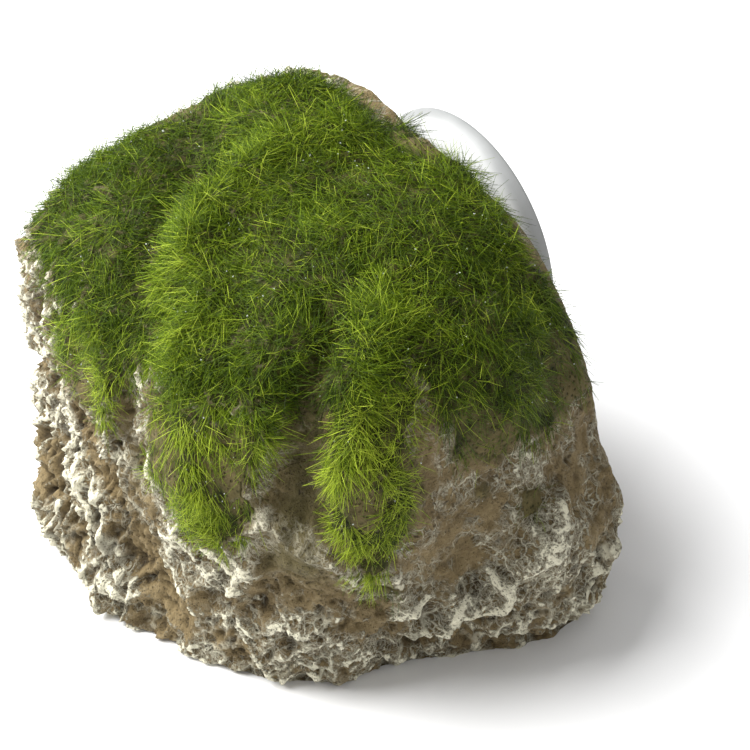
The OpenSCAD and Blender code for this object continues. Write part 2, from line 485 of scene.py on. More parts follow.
@dataclass(frozen=True)
class CupFinish:
    """Milky soft plastic that lets some light through, with a dark line along the lip painted as
    shade.
    """

    low: Colour = (0.56, 0.57, 0.565)
    high: Colour = (0.72, 0.73, 0.72)
    # Painted shade: lip is the colour of the dark line along the rim, standing in for how the clear
    # edge darkens seen edge-on.
    lip: Colour = (0.16, 0.165, 0.165)

    def make(self) -> bpy.types.Material:
        """Builds the material."""
        s = Shader("milky_cup")
        cloud = s.noise(9.0, 3.0, 0.5, 0.5)
        haze = s.noise(1.2, 3.0)
        edge = s.attribute("edge")
        shade = s.ramp(cloud * 0.85 + haze * 0.15, ((0.3, self.low), (0.7, self.high)))
        # Painted shade: the rim is darkened toward the lip colour.
        shade = s.mix(edge * 0.7, shade, self.lip)
        return s.finish(
            Base_Color=shade,
            Roughness=0.42 + haze * 0.15,
            Normal=s.bump(haze, 0.03, 0.5),
            Transmission_Weight=0.2,
            IOR=1.48,
        )


@dataclass(frozen=True)
class GlueFinish:
    """Clear adhesive under the moss, coloured dark olive as painted shade between the fibres, tan
    where thin moss lets the stone show, its pits darkened as painted shade.
    """

    # Painted shade: the dark olive colours stand in for the shade between the fibres; the adhesive
    # itself is clear.
    low: Colour = (0.012, 0.015, 0.002)
    middle: Colour = (0.03, 0.033, 0.006)
    high: Colour = (0.082, 0.07, 0.021)
    bare: Colour = (0.145, 0.113, 0.05)
    pit: float = 0.9

    def make(self) -> bpy.types.Material:
        """Builds the material."""
        s = Shader("moss_adhesive")
        cloud = s.noise(3.2, 6.0, 0.7, 0.6)
        wet = s.noise(1.0, 4.0, 0.65)
        pits = 1.0 - s.cells(self.pit).above(0.1, 0.25)
        shade = s.ramp(cloud, ((0.34, self.low), (0.52, self.middle), (0.7, self.high)))
        open_share = (s.attribute("bare") * 1.6 + cloud - 1.15).clamp()
        shade = s.mix(open_share * 0.85, shade, self.bare)
        # Painted shade: pits are darkened toward the low colour.
        shade = s.mix(pits * 0.7, shade, self.low)
        return s.finish(
            Base_Color=shade,
            Roughness=0.5 + wet * 0.3,
            Normal=s.bump(wet - pits * 0.6, 0.5, 1.0),
            Specular_IOR_Level=0.12,
        )


@dataclass(frozen=True)
class BeadFinish:
    """Glossy clear glue drops, given a pale whitish colour as painted highlight."""

    # Painted highlight: the pale colours make the clear drops read as glints.
    low: Colour = (0.62, 0.68, 0.6)
    high: Colour = (0.85, 0.88, 0.84)

    def make(self) -> bpy.types.Material:
        """Builds the material."""
        s = Shader("glue_bead")
        cloud = s.noise(1.5, 2.0)
        shade = s.ramp(cloud, ((0.35, self.low), (0.65, self.high)))
        return s.finish(
            Base_Color=shade,
            Roughness=0.06 + cloud * 0.06,
            Transmission_Weight=0.55,
            IOR=1.45,
        )


@dataclass(frozen=True)
class FibreFinish:
    """Nylon fibre: tone runs across the layout, mixing dye with painted light and shade; root to tip
    runs up it, the root darkened as painted shade.
    """

    shadow: Colour = (0.009, 0.017, 0.001)
    leaf: Colour = (0.05, 0.092, 0.002)
    fresh: Colour = (0.152, 0.23, 0.005)
    straw: Colour = (0.4, 0.5, 0.04)

    def make(self) -> bpy.types.Material:
        """Builds the material."""
        s = Shader("moss_fibre")
        layout = s.node("ShaderNodeUVMap", {"uv_map": LAYOUT})
        across = s.node("ShaderNodeSeparateXYZ", {}, {"Vector": layout}, "X")
        along = s.node("ShaderNodeSeparateXYZ", {}, {"Vector": layout}, "Y")
        stops = ((0.0, self.shadow), (0.38, self.leaf), (0.72, self.fresh), (1.0, self.straw))
        dye_and_painted_light = s.ramp(across, stops)
        # Painted shade: the root end of each fibre is darkened toward the shadow colour.
        root = 1.0 - along.above(0.0, 0.6)
        shade = s.mix(root * 0.85, dye_and_painted_light, self.shadow)
        return s.finish(Base_Color=shade, Roughness=0.42, Specular_IOR_Level=0.16)


@dataclass(frozen=True)
class FloorFinish:
    """Matt white studio board."""

    low: Colour = (0.86, 0.86, 0.86)
    high: Colour = (0.9, 0.9, 0.9)

    def make(self) -> bpy.types.Material:
        """Builds the material."""
        s = Shader("studio_board")
        cloud = s.noise(60.0, 2.0)
        return s.finish(Base_Color=s.mix(cloud, self.low, self.high), Roughness=0.85)


# ---------------------------------------------------------------- solid noise and meshes


class Field:
    """Seeded noise that fills space."""

    def __init__(self, seed: int) -> None:
        """Draws the field's random tables.

        Args:
            seed: The field's seed.
        """
        rng = np.random.default_rng(seed)
        self.order = rng.permutation(256)
        slopes = rng.normal(size=(256, 3))
        self.slopes = slopes / np.linalg.norm(slopes, axis=1, keepdims=True)
        self.spots = rng.random((256, 3))

    def _key(self, cell: Array) -> Array:
        """Gives each cell a key.

        Args:
            cell: Three whole numbers a cell.

        Returns:
            The keys, from 0 to 255.
        """
        a = self.order[cell[..., 0] & 255]
        b = self.order[(a + cell[..., 1]) & 255]
        return self.order[(b + cell[..., 2]) & 255]

    def swell(self, p: Array, size: float) -> Array:
        """Gives smooth noise, about -1 to 1.

        Args:
            p: Points in millimetres.
            size: Width of one swell in millimetres.

        Returns:
            One value a point.
        """
        q = p / size
        cell = np.floor(q).astype(np.int64)
        part = q - cell
        ease = part * part * part * (part * (part * 6 - 15) + 10)
        total = np.zeros(len(p))
        for corner in np.ndindex(2, 2, 2):
            step = np.array(corner)
            weight = np.prod(np.where(step == 1, ease, 1 - ease), axis=1)
            slope = self.slopes[self._key(cell + step)]
            total += weight * np.einsum("ij,ij->i", slope, part - step)
        return total * 1.7

    def fractal(self, p: Array, size: float, octaves: int = 3, fade: float = 0.5) -> Array:
        """Adds up smooth noise of falling size.

        Args:
            p: Points in millimetres.
            size: Width of the largest swell.
            octaves: Number of sizes.
            fade: Strength of each size against the last.

        Returns:
            One value a point, about -1 to 1.
        """
        total = np.zeros(len(p))
        for k in range(octaves):
            total += fade**k * self.swell(p + 37.0 * k, size / 2**k)
        return total

    def ridged(self, p: Array, size: float, octaves: int = 3, fade: float = 0.5) -> Array:
        """Gives noise with sharp crests, about 0 to 1.

        Args:
            p: Points in millimetres.
            size: Width of the largest swell.
            octaves: Number of sizes.
            fade: Strength of each size against the last.

        Returns:
            One value a point.
        """
        total = np.zeros(len(p))
        norm = 0.0
        for k in range(octaves):
            away = np.abs(self.swell(p + 53.0 * k, size / 2**k))
            total += fade**k * (1 - np.minimum(1, 2 * away))
            norm += fade**k
        return total / norm

    def cells(self, p: Array, size: float) -> tuple[Array, Array]:
        """Gives the distances to the two nearest of scattered spots, in spot spacings.

        Args:
            p: Points in millimetres.
            size: Spacing of the spots.

        Returns:
            The nearest and the second nearest distance.
        """
        q = p / size
        cell = np.floor(q).astype(np.int64)
        near = np.full(len(p), 9.0)
        second = np.full(len(p), 9.0)
        for corner in np.ndindex(3, 3, 3):
            here = cell + np.array(corner) - 1
            away = np.linalg.norm(here + self.spots[self._key(here)] - q, axis=1)
            second = np.minimum(second, np.maximum(near, away))
            near = np.minimum(near, away)
        return near, second


def ease(low: float, high: float, value: Array) -> Array:
    """Rises smoothly from 0 to 1 between two values.

    Args:
        low: Where the rise begins.
        high: Where it ends.
        value: The values.

    Returns:
        The eased values.
    """
    t = np.clip((value - low) / (high - low), 0, 1)
    return t * t * (3 - 2 * t)


def unit(v: Array) -> Array:
    """Scales vectors to a length of 1."""
    return v / np.maximum(np.linalg.norm(v, axis=-1, keepdims=True), 1e-12)


def spread(index: Array, values: Array, count: int) -> Array:
    """Adds vectors up at their indices.

    Args:
        index: Where each vector goes.
        values: The vectors.
        count: Number of sums.

    Returns:
        The sums.
    """
    columns = [np.bincount(index, weights=column, minlength=count) for column in values.T]
    return np.stack(columns, axis=1)


def grid_quads(k: Array) -> Array:
    """Joins a grid of point numbers into squares.

    Args:
        k: Point numbers, row by row.

    Returns:
        Four point numbers a square.
    """
    ring = [k[:-1, :-1], k[1:, :-1], k[1:, 1:], k[:-1, 1:]]
    return np.stack(ring, axis=-1).reshape(-1, 4)


def rim_wall(faces: Array, count: int) -> Array:
    """Joins the open edges of a sheet to those of a second sheet, numbered on from it.

    Args:
        faces: Point numbers of the first sheet's faces.
        count: Number of points in each sheet.

    Returns:
        Four point numbers for each open edge.
    """
    corners = faces.shape[1]
    edges = np.concatenate([faces[:, [k, (k + 1) % corners]] for k in range(corners)])
    code = edges[:, 0] * count + edges[:, 1]
    back = edges[:, 1] * count + edges[:, 0]
    a, b = edges[~np.isin(code, back)].T
    return np.stack([b, a, a + count, b + count], axis=1)


def normals_of(points: Array, quads: Array) -> Array:
    """Gives the smooth normal at every point.

    Args:
        points: The points.
        quads: Four indices a face.

    Returns:
        Unit normals.
    """
    a, b, c, d = (points[quads[:, k]] for k in range(4))
    flat = np.cross(c - a, d - b)
    total = np.zeros_like(points)
    for k in range(4):
        total += spread(quads[:, k], flat, len(points))
    return unit(total)


def make_piece(
    name: str,
    points: Array,
    faces: Sequence[Array],
    layout: Optional[Sequence[Array]] = None,
    values: Optional[dict[str, Array]] = None,
) -> bpy.types.Object:
    """Makes a smooth-shaded object.

    Args:
        name: The piece's name.
        points: Its points in millimetres.
        faces: Arrays of indices, one array for each number of corners.
        layout: Flat layout of the same shape, two numbers a corner.
        values: Numbers stored at the points.

    Returns:
        The object.
    """
    corners = np.concatenate([f.ravel() for f in faces]).astype(np.int32)
    sizes = np.concatenate([np.full(len(f), f.shape[1]) for f in faces])
    starts = np.concatenate([[0], np.cumsum(sizes)[:-1]]).astype(np.int32)
    mesh = bpy.data.meshes.new(name)
    mesh.vertices.add(len(points))
    mesh.vertices.foreach_set("co", (points * MM).astype(np.float32).ravel())
    mesh.loops.add(len(corners))
    mesh.loops.foreach_set("vertex_index", corners)
    mesh.polygons.add(len(starts))
    mesh.polygons.foreach_set("loop_start", starts)
    mesh.polygons.foreach_set("use_smooth", np.ones(len(starts), dtype=bool))
    mesh.update(calc_edges=True)
    for key, value in (values or {}).items():
        stored = mesh.attributes.new(key, "FLOAT", "POINT")
        stored.data.foreach_set("value", value.astype(np.float32))
    if layout is not None:
        flat = np.concatenate([part.reshape(-1, 2) for part in layout]).astype(np.float32)
        chart = mesh.uv_layers.new(name=LAYOUT)
        chart.uv.foreach_set("vector", flat.ravel())
    piece = bpy.data.objects.new(name, mesh)
    bpy.context.scene.collection.objects.link(piece)
    return piece


def hand_over(
    piece: bpy.types.Object,
    material: bpy.types.Material,
    body: str,
    stands_for: Sequence[str] = (),
) -> None:
    """Gives a piece its finish and its place in the frame.

    Args:
        piece: The piece.
        material: Its material.
        body: The body that it rides on.
        stands_for: The CAD nodes that it replaces.
    """
    piece.data.materials.clear()
    piece.data.materials.append(material)
    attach(piece, body)
    if stands_for:
        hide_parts(*stands_for)
    LOG.info("%s: %d faces", piece.name, len(piece.data.polygons))


def box_of(node: str) -> tuple[Array, Array]:
    """Gives the lowest and the highest corner of a CAD node, in millimetres."""
    low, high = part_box(node)
    return np.array(low) / MM, np.array(high) / MM


def cad_tree(*nodes: str) -> BVHTree:
    """Makes a search tree of CAD nodes.

    Args:
        nodes: Their names.

    Returns:
        The tree, in metres.
    """
    points: list[Vector] = []
    faces: list[tuple[int, ...]] = []
    for name in nodes:
        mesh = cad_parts[name].data
        first = len(points)
        points.extend(v.co.copy() for v in mesh.vertices)
        faces.extend(tuple(first + i for i in p.vertices) for p in mesh.polygons)
    return BVHTree.FromPolygons(points, faces)


# ---------------------------------------------------------------- the casting


@dataclass(frozen=True)
class Fold:
    """A rib or a channel that runs along a line on the casting.

    Attributes:
        line: Longitude and latitude of its knots, in degrees.
        height: Height of the rib, below 0 for a channel.
        width: Half its width, in degrees.
        chalk: Added to the pale dry-brushing.
        moss: Added to the thickness of the moss.
        damp: Added to the glue stain.
        rise: How far the stone is lifted straight up.
    """

    line: tuple[tuple[float, float], ...]
    height: float
    width: float
    chalk: float = 0.0
    moss: float = 0.0
    damp: float = 0.0
    rise: float = 0.0

    def weight(self, d: Array) -> Array:
        """Gives 1 on the line, falling to 0 away from it.

        Args:
            d: Directions from the middle of the casting.

        Returns:
            One value a direction.
        """
        knots = toward(np.array([k[0] for k in self.line]), np.array([k[1] for k in self.line]))
        nearest = np.full(len(d), 9.0)
        for a, b in zip(knots[:-1], knots[1:]):
            run = b - a
            t = np.clip((d - a) @ run / (run @ run), 0, 1)
            nearest = np.minimum(nearest, np.linalg.norm(d - a - t[:, None] * run, axis=1))
        return np.exp(-((np.degrees(nearest) / self.width) ** 2))


def toward(lon: Array, lat: Array) -> Array:
    """Gives directions from longitude and latitude in degrees."""
    a, b = np.radians(lon), np.radians(lat)
    return np.stack([np.sin(a) * np.cos(b), -np.cos(a) * np.cos(b), np.sin(b)], axis=-1)


FOLDS = (
    Fold(
        ((-165, 66), (-60, 76), (-22, 69), (5, 57), (18, 48), (27, 22), (33, -3)),
        2.0,
        6.0,
        moss=0.9,
    ),
    Fold(((-75, 55), (-40, 63), (-20, 55), (-5, 48)), -2.2, 6.0, moss=-0.7),
    Fold(((60, 46), (56, 38), (53, 27), (53, 10)), -4.4, 5.0, moss=-1.5),
    Fold(((58, 42), (53, 27), (53, 12), (50, 0)), 0.0, 7.0, damp=1.3),
    Fold(((2, 20), (6, 8), (8, -4)), 0.0, 5.0, damp=0.5),
    Fold(((74, 46), (69, 41), (63, 32), (61, 22), (59, 5)), 2.0, 5.0, moss=0.8),
    Fold(((40, 30), (42, 20), (42, 8)), 1.0, 3.0, moss=0.6),
    Fold(((-12, 32), (-3, 22), (-1, 8)), 1.6, 4.0, moss=0.7),
    Fold(((7, 24), (8, 12), (10, 2)), -1.8, 4.0, moss=-0.8),
    Fold(
        (
            (24, -6), (29, -13), (33, -14), (38, -6), (47, 4), (56, 2), (62, -2), (70, -7),
            (73, -15), (78, -21), (85, -19), (92, -14), (99, -9), (104, -5),
        ),
        1.9,
        3.0,
        chalk=0.65,
    ),
    Fold(((36, -20), (48, -8), (60, -12), (68, -18), (74, -28), (88, -28)), -1.8, 4.5, chalk=-0.3),
    Fold(((-60, 0), (-40, -10), (-22, -8), (-8, -16), (6, -30)), 1.8, 4.0, chalk=0.7),
    Fold(((-18, 2), (-8, -4), (4, -14), (16, -30)), -1.6, 5.0, chalk=-0.5),
    Fold(((14, 4), (20, -8), (24, -24)), 1.0, 3.5, chalk=0.5),
    Fold(((100, 10), (97, 0), (96, -10)), 0.8, 3.0, chalk=0.5),
    Fold(((84, 8), (82, -4), (84, -12)), -1.2, 4.0),
    Fold(((112, 20), (116, 8), (112, -6)), -0.9, 5.0),
    Fold(((-106, 51), (-117, 51), (-130, 53)), -3.0, 5.5),
    Fold(((-142, 52), (-165, 60)), -3.4, 8.0),
    Fold(((-70, 27), (-62, 22)), 1.4, 5.0),
    Fold(((164, 56), (178, 58)), 0.0, 5.0, moss=-1.6),
    Fold(((-70, 30), (-60, 36), (-45, 34)), -1.5, 12.0),
    Fold(((2, -36), (10, -42), (18, -44)), 5.2, 8.0, chalk=0.2),
    Fold(((100, -12), (112, -12), (122, -12)), 4.0, 8.0),
    Fold(((96, -30), (106, -29)), -3.4, 4.0, chalk=-0.3),
    Fold(((62, -40), (80, -34), (92, -34)), -1.2, 8.0),
    Fold(((157, 53), (168, 56), (182, 56)), 0.0, 6.5, rise=5.0),
    Fold(((-138, 48), (-150, 50), (-160, 52)), 0.0, 5.0, rise=-2.2),
    Fold(((-108, 45), (-120, 46)), -1.6, 5.0),
    Fold(((-96, 44), (-88, 40)), -0.8, 5.0, moss=-1.5),
    Fold(((-100, 41), (-90, 38), (-80, 37)), 1.8, 6.0),
    Fold(((-80, 22), (-66, 12), (-58, -4), (-54, -16)), -2.4, 9.0),
    Fold(((-66, 8), (-52, -1), (-42, -4)), -2.4, 3.0, chalk=-0.8),
    Fold(((-52, -17), (-38, -21), (-26, -22)), -2.4, 3.0, chalk=-0.8),
)


@dataclass
class Casting:
    """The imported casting's outer surface, seen from the middle of the stone."""

    across: int = 210
    middle_in_box: tuple[float, float, float] = (0.438, 0.6, 0.44)
    far: float = 200.0
    back_tilt: float = 0.2
    low: Array = field(init=False)
    high: Array = field(init=False)
    middle: Array = field(init=False)
    seats: Array = field(init=False)
    d: Array = field(init=False)
    quads: Array = field(init=False)
    layout: Array = field(init=False)
    p: Array = field(init=False)

    def __post_init__(self) -> None:
        """Lays out the directions and measures the casting along them."""
        self.low, self.high = box_of("stone_shell")
        self.middle = self.low + np.array(self.middle_in_box) * (self.high - self.low)
        self._lay_out()
        self.p = self._measure()

    def _lay_out(self) -> None:
        """Spreads directions over the six faces of a cube, each shared corner once."""
        n = self.across
        i, j = np.meshgrid(np.arange(n + 1), np.arange(n + 1), indexing="ij")
        seats, shapes, flats = [], [], []
        for face in range(6):
            seats.append(self.seats_on(face, i, j))
            k = np.arange((n + 1) ** 2).reshape(n + 1, n + 1) + face * (n + 1) ** 2
            square = grid_quads(k)
            shapes.append(square if face % 2 else square[:, ::-1])
            flat = np.stack([i, j], axis=-1) / n * 0.97 + 0.015
            flat = (flat + np.array([face % 3, face // 3])) * np.array([1 / 3, 1 / 2])
            flats.append(flat.reshape(-1, 2))
        every = np.concatenate(seats)
        _, first, shared = np.unique(self.code(every), return_index=True, return_inverse=True)
        corners = np.concatenate(shapes)
        self.layout = np.concatenate(flats)[corners]
        self.quads = shared[corners]
        self.seats = every[first]
        self.d = unit(np.tan((self.seats / n * 2 - 1) * math.pi / 4))

    def seats_on(self, face: int, i: Array, j: Array) -> Array:
        """Gives whole-number places on one face of the cube.

        Args:
            face: The face, from 0 to 5.
            i: Steps along its first side.
            j: Steps along its second side.

        Returns:
            Three whole numbers a place.
        """
        axis = face // 2
        seat = np.zeros((*i.shape, 3), dtype=np.int64)
        seat[..., axis] = face % 2 * self.across
        seat[..., (axis + 1) % 3] = i
        seat[..., (axis + 2) % 3] = j
        return seat.reshape(-1, 3)

    def code(self, seats: Array) -> Array:
        """Turns each place on the cube into one number."""
        side = self.across + 1
        return (seats[:, 0] * side + seats[:, 1]) * side + seats[:, 2]

    def _measure(self) -> Array:
        """Finds the outermost CAD surface along every direction.

        Returns:
            The surface's points in millimetres.
        """
        tree = cad_tree("stone_shell", "back_plate", "cup_socket")
        middle = Vector(self.middle * MM)
        reach = np.zeros(len(self.d))
        for k, way in enumerate(self.d):
            ray = Vector(way)
            hit = tree.ray_cast(middle + ray * (self.far * MM), -ray)[0]
            reach[k] = (hit - middle).length / MM if hit else 0.0
        faces_back = self.d[:, 1] > self.back_tilt
        plane = np.where(faces_back, self.to_back(), self.far)
        on_plate = self.inside_plate(plane, 1.0) > 0
        reach = np.where(on_plate & faces_back, plane, reach)
        for _ in range(4):
            reach = self.blur(reach)
        return self.middle + self.d * reach[:, None]

    def to_back(self) -> Array:
        """Gives the distance from the middle to the flat back, along every direction."""
        return (self.high[1] - self.middle[1]) / np.maximum(self.d[:, 1], self.back_tilt)

    def inside_plate(self, reach: Array, margin: float) -> Array:
        """Measures how far points lie inside the back plate, as seen from behind.

        Args:
            reach: Distance of each point from the middle, along its direction.
            margin: Added to the result.

        Returns:
            The distance to the plate's edge, below 0 outside.
        """
        flat = self.middle + self.d * reach[:, None]
        return inside_outline(flat[:, [0, 2]], self.plate_outline(), margin)

    def plate_outline(self) -> Array:
        """Gives the back plate's outline as seen from behind.

        Returns:
            Its corners, going round.
        """
        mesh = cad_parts["back_plate"].data
        flat = [Vector((v.co.x, v.co.z)) / MM for v in mesh.vertices]
        hull = np.array([flat[k] for k in geometry.convex_hull_2d(flat)])
        step = np.linalg.norm(hull - np.roll(hull, 1, axis=0), axis=1)
        return hull[step > 0.01]

    def blur(self, values: Array) -> Array:
        """Averages values with their neighbours on the layout.

        Args:
            values: One or more numbers a point.

        Returns:
            The averaged values.
        """
        flat = values if values.ndim == 2 else values[:, None]
        mean = sum(flat[self.quads[:, k]] for k in range(4)) / 4
        total = np.zeros_like(flat, dtype=float)
        count = np.zeros(len(flat))
        for k in range(4):
            total += spread(self.quads[:, k], mean, len(flat))
            count += np.bincount(self.quads[:, k], minlength=len(flat))
        result = total / count[:, None]
        return result if values.ndim == 2 else result[:, 0]


def inside_outline(p: Array, outline: Array, margin: float) -> Array:
    """Measures how far points lie inside a convex outline.

    Args:
        p: Points.
        outline: The outline's corners, going round.
        margin: Added to the distance.

    Returns:
        The distance to the nearest side, below 0 outside.
    """
    centre = outline.mean(axis=0)
    nearest = np.full(len(p), 1e9)
    for a, b in zip(outline, np.roll(outline, -1, axis=0)):
        run = unit(b - a)
        inward = np.array([-run[1], run[0]])
        if inward @ (centre - a) < 0:
            inward = -inward
        nearest = np.minimum(nearest, (p - a) @ inward)
    return nearest + margin


@dataclass
class StoneSkin:
    """The stone's porous surface, worked over the casting."""

    cast: Casting
    lump_h: float = 1.2
    tufa_h: float = 1.2
    bowl_h: float = 2.3
    net_h: float = 0.9
    small_net_h: float = 0.35
    streak_h: float = 1.7
    fine_h: float = 0.6
    foot_h: float = 1.8
    pit_h: float = 0.9
    lump_w: float = 17.0
    tufa_w: float = 11.0
    bowl_w: float = 10.5
    net_w: float = 5.2
    small_net_w: float = 2.9
    streak_w: float = 4.2
    fine_w: float = 2.4
    foot_w: float = 9.0
    pit_w: float = 3.6
    recess_d: float = 7.0
    seed: int = 11
    macro: Array = field(init=False)
    macro_normal: Array = field(init=False)
    p: Array = field(init=False)
    fold_h: Array = field(init=False)
    moss_gain: Array = field(init=False)
    damp: Array = field(init=False)
    crest: Array = field(init=False)
    chalk: Array = field(init=False)
    hollow: Array = field(init=False)
    web: Array = field(init=False)

    def shape(self, near_moss: Array) -> None:
        """Works out the folds, the porous relief and the masks that colour it.

        Args:
            near_moss: How far under the moss each point is.
        """
        c = self.cast
        d, p = c.d, c.p
        f = Field(self.seed)
        lon = np.degrees(np.arctan2(d[:, 0], -d[:, 1]))
        lat = np.degrees(np.arcsin(np.clip(d[:, 2], -1, 1)))
        height = p[:, 2] - c.low[2]
        behind = ease(0.2, 3.0, c.high[1] - p[:, 1])
        flank = ease(48, 76, lon) * ease(-17, -8, lat) * (1 - ease(150, 175, lon))
        calm = 1 - 0.6 * ease(0.3, 0.9, near_moss)
        rough = (1 - 0.72 * flank) * (0.25 + 0.75 * behind) * calm
        far_left = ease(-50, -76, lon)
        rough *= 1 - 0.4 * far_left
        normal = normals_of(p, c.quads)
        normal[:, 2] *= ease(0.0, 4.0, height)
        fold_h = np.zeros(len(d))
        left_side = (1 - ease(-24, 4, lon)) * ease(-120, -60, lon)
        brown_band = np.exp(-(((lon - 10) / 15) ** 2)) * (1 - ease(-8, 6, lat))
        chalk = 0.46 - 0.12 * far_left - 0.28 * flank - 0.26 * left_side - 0.3 * brown_band
        moss = np.zeros(len(d))
        bent = unit(
            d
            + 0.05 * np.stack([f.swell(p + 17.0 * k, 9.0) for k in range(3)], axis=1)
            + 0.03 * np.stack([f.swell(p + 13.0 * k, 4.0) for k in range(3)], axis=1)
        )
        damp = np.zeros(len(d))
        rise = np.zeros(len(d))
        for fold in FOLDS:
            w = fold.weight(bent)
            fold_h += fold.height * w
            chalk += fold.chalk * w
            moss += fold.moss * w
            damp += fold.damp * w
            rise += fold.rise * w
        self.damp = np.clip(damp, 0, 1)
        rough *= 1 - 0.7 * self.damp
        chalk -= 0.6 * self.damp
        warp = np.stack([f.swell(p + 11.0 * k, 7.0) for k in range(3)], axis=1)
        q = p + 1.8 * warp
        lumps = f.fractal(p, self.lump_w, 2) * self.lump_h
        self.macro = p + normal * ((fold_h + lumps) * behind)[:, None] + UP * rise[:, None]
        self.macro_normal = normals_of(self.macro, c.quads)
        tufa = (f.ridged(q, self.tufa_w, 5, 0.6) - 0.5) * 2 * self.tufa_h
        wide, _ = f.cells(q + 23.0, self.bowl_w)
        bowled = ease(-0.25, 0.25, f.fractal(p + 47.0, 15.0, 2))
        bowl_rim = np.exp(-(((wide - 0.5) / 0.08) ** 2))
        bowls = (ease(0.46, 0.12, wide) - 0.5 * bowl_rim) * bowled
        near, second = f.cells(q, self.net_w)
        netted = ease(-0.1, 0.5, f.fractal(p + 131.0, 12.0, 2))
        net = np.exp(-(((second - near) / 0.13) ** 2)) * netted
        near, second = f.cells(q + 311.0, self.small_net_w)
        small_netted = ease(-0.15, 0.35, f.fractal(p + 151.0, 10.0, 2))
        small_net = np.exp(-(((second - near) / 0.17) ** 2)) * small_netted
        left = ease(24, -14, lon) * ease(-150, -120, lon)
        drawn = q * np.array([1.0, 1.0, 0.34])
        streaks = (f.ridged(drawn + 61.0, self.streak_w, 3, 0.65) - 0.5) * 2 * self.streak_h * left
        fine = f.fractal(q + 91.0, self.fine_w, 4, 0.66) * self.fine_h
        pit_near, _ = f.cells(q + 1.2 * warp[:, ::-1] + 177.0, self.pit_w)
        pitted = ease(0.0, 0.6, f.fractal(p + 71.0, 9.0, 2))
        pits = ease(0.36, 0.1, pit_near) * pitted
        smooth = 1 - 0.65 * np.clip(bowls, 0, 1)
        relief = (tufa + net * self.net_h + small_net * self.small_net_h) * smooth
        relief = (relief - bowls * self.bowl_h + streaks - 0.6) * rough
        fine_and_pits = fine * (0.45 + 0.55 * rough) - pits * self.pit_h * (0.35 + 0.65 * rough)
        relief += fine_and_pits * smooth
        relief *= 0.35 + 0.65 * behind
        foot = f.fractal(p * np.array([1.0, 1.0, 0.4]) + 5.0, self.foot_w, 3, 0.6)
        relief += self.foot_h * foot * (1 - ease(4.0, 14.0, height)) * behind
        low_pass = relief
        for _ in range(12):
            low_pass = c.blur(low_pass)
        self.p = self.macro + normal * relief[:, None]
        self.crest = np.clip(0.5 + (relief - low_pass) / 1.3 + (relief + 0.6 * rough) * 0.12, 0, 1)
        chalk = chalk + 0.42 * f.fractal(p + 19.0, 6.0, 3) + 0.3 * streaks
        self.chalk = np.clip(chalk, 0, 1) * (0.3 + 0.7 * behind)
        self.chalk *= 1 - 0.85 * ease(0.35, 0.8, near_moss)
        # Painted shade: pits and the deepest parts of the relief make the mask that the stone's
        # finish darkens.
        deep = ease(-1.2, -3.0, relief)
        self.hollow = np.clip(pits * 0.7 + deep * 0.6 - streaks * 0.7 * rough, 0, 1)
        self.web = np.clip(np.maximum(net, small_net) * (0.2 + 0.8 * rough), 0, 1)
        self.moss_gain = moss
        self.fold_h = fold_h
        self.p[:, 2] = np.maximum(self.p[:, 2], c.low[2])
        self._sink_recess()

    def _sink_recess(self) -> None:
        """Sinks the seat of the back plate."""
        c = self.cast
        steep = c.d[:, 1] > 0.25
        share = ease(0.9, 1.7, c.inside_plate(c.to_back(), 0.0)) * steep
        self.p -= share[:, None] * c.d * (self.recess_d / np.maximum(c.d[:, 1], 0.25))[:, None]

    def build(self, stain: Array) -> None:
        """Makes the stone.

        Args:
            stain: How much the moss stains each point.
        """
        c = self.cast
        values = {"crest": self.crest, "chalk": self.chalk, "hollow": self.hollow}
        values |= {"stain": stain, "web": self.web}
        piece = make_piece("stone_casting", self.p, [c.quads], [c.layout], values)
        hand_over(piece, TufaFinish().make(), "stone", ("stone_shell",))


# ---------------------------------------------------------------- moss


class Patch(Enum):
    """The patches of moss, by the end of their CAD names."""

    CROWN = "crown"
    LEFT = "left_runner"
    CENTRE = "centre_runner"
    RIGHT = "right_runner"
    APRON = "right_apron"
    STRAY = "stray_tufts"


TONES = {
    Patch.CROWN: 0.37,
    Patch.LEFT: 0.56,
    Patch.CENTRE: 0.62,
    Patch.RIGHT: 0.76,
    Patch.APRON: 0.42,
    Patch.STRAY: 0.4,
}


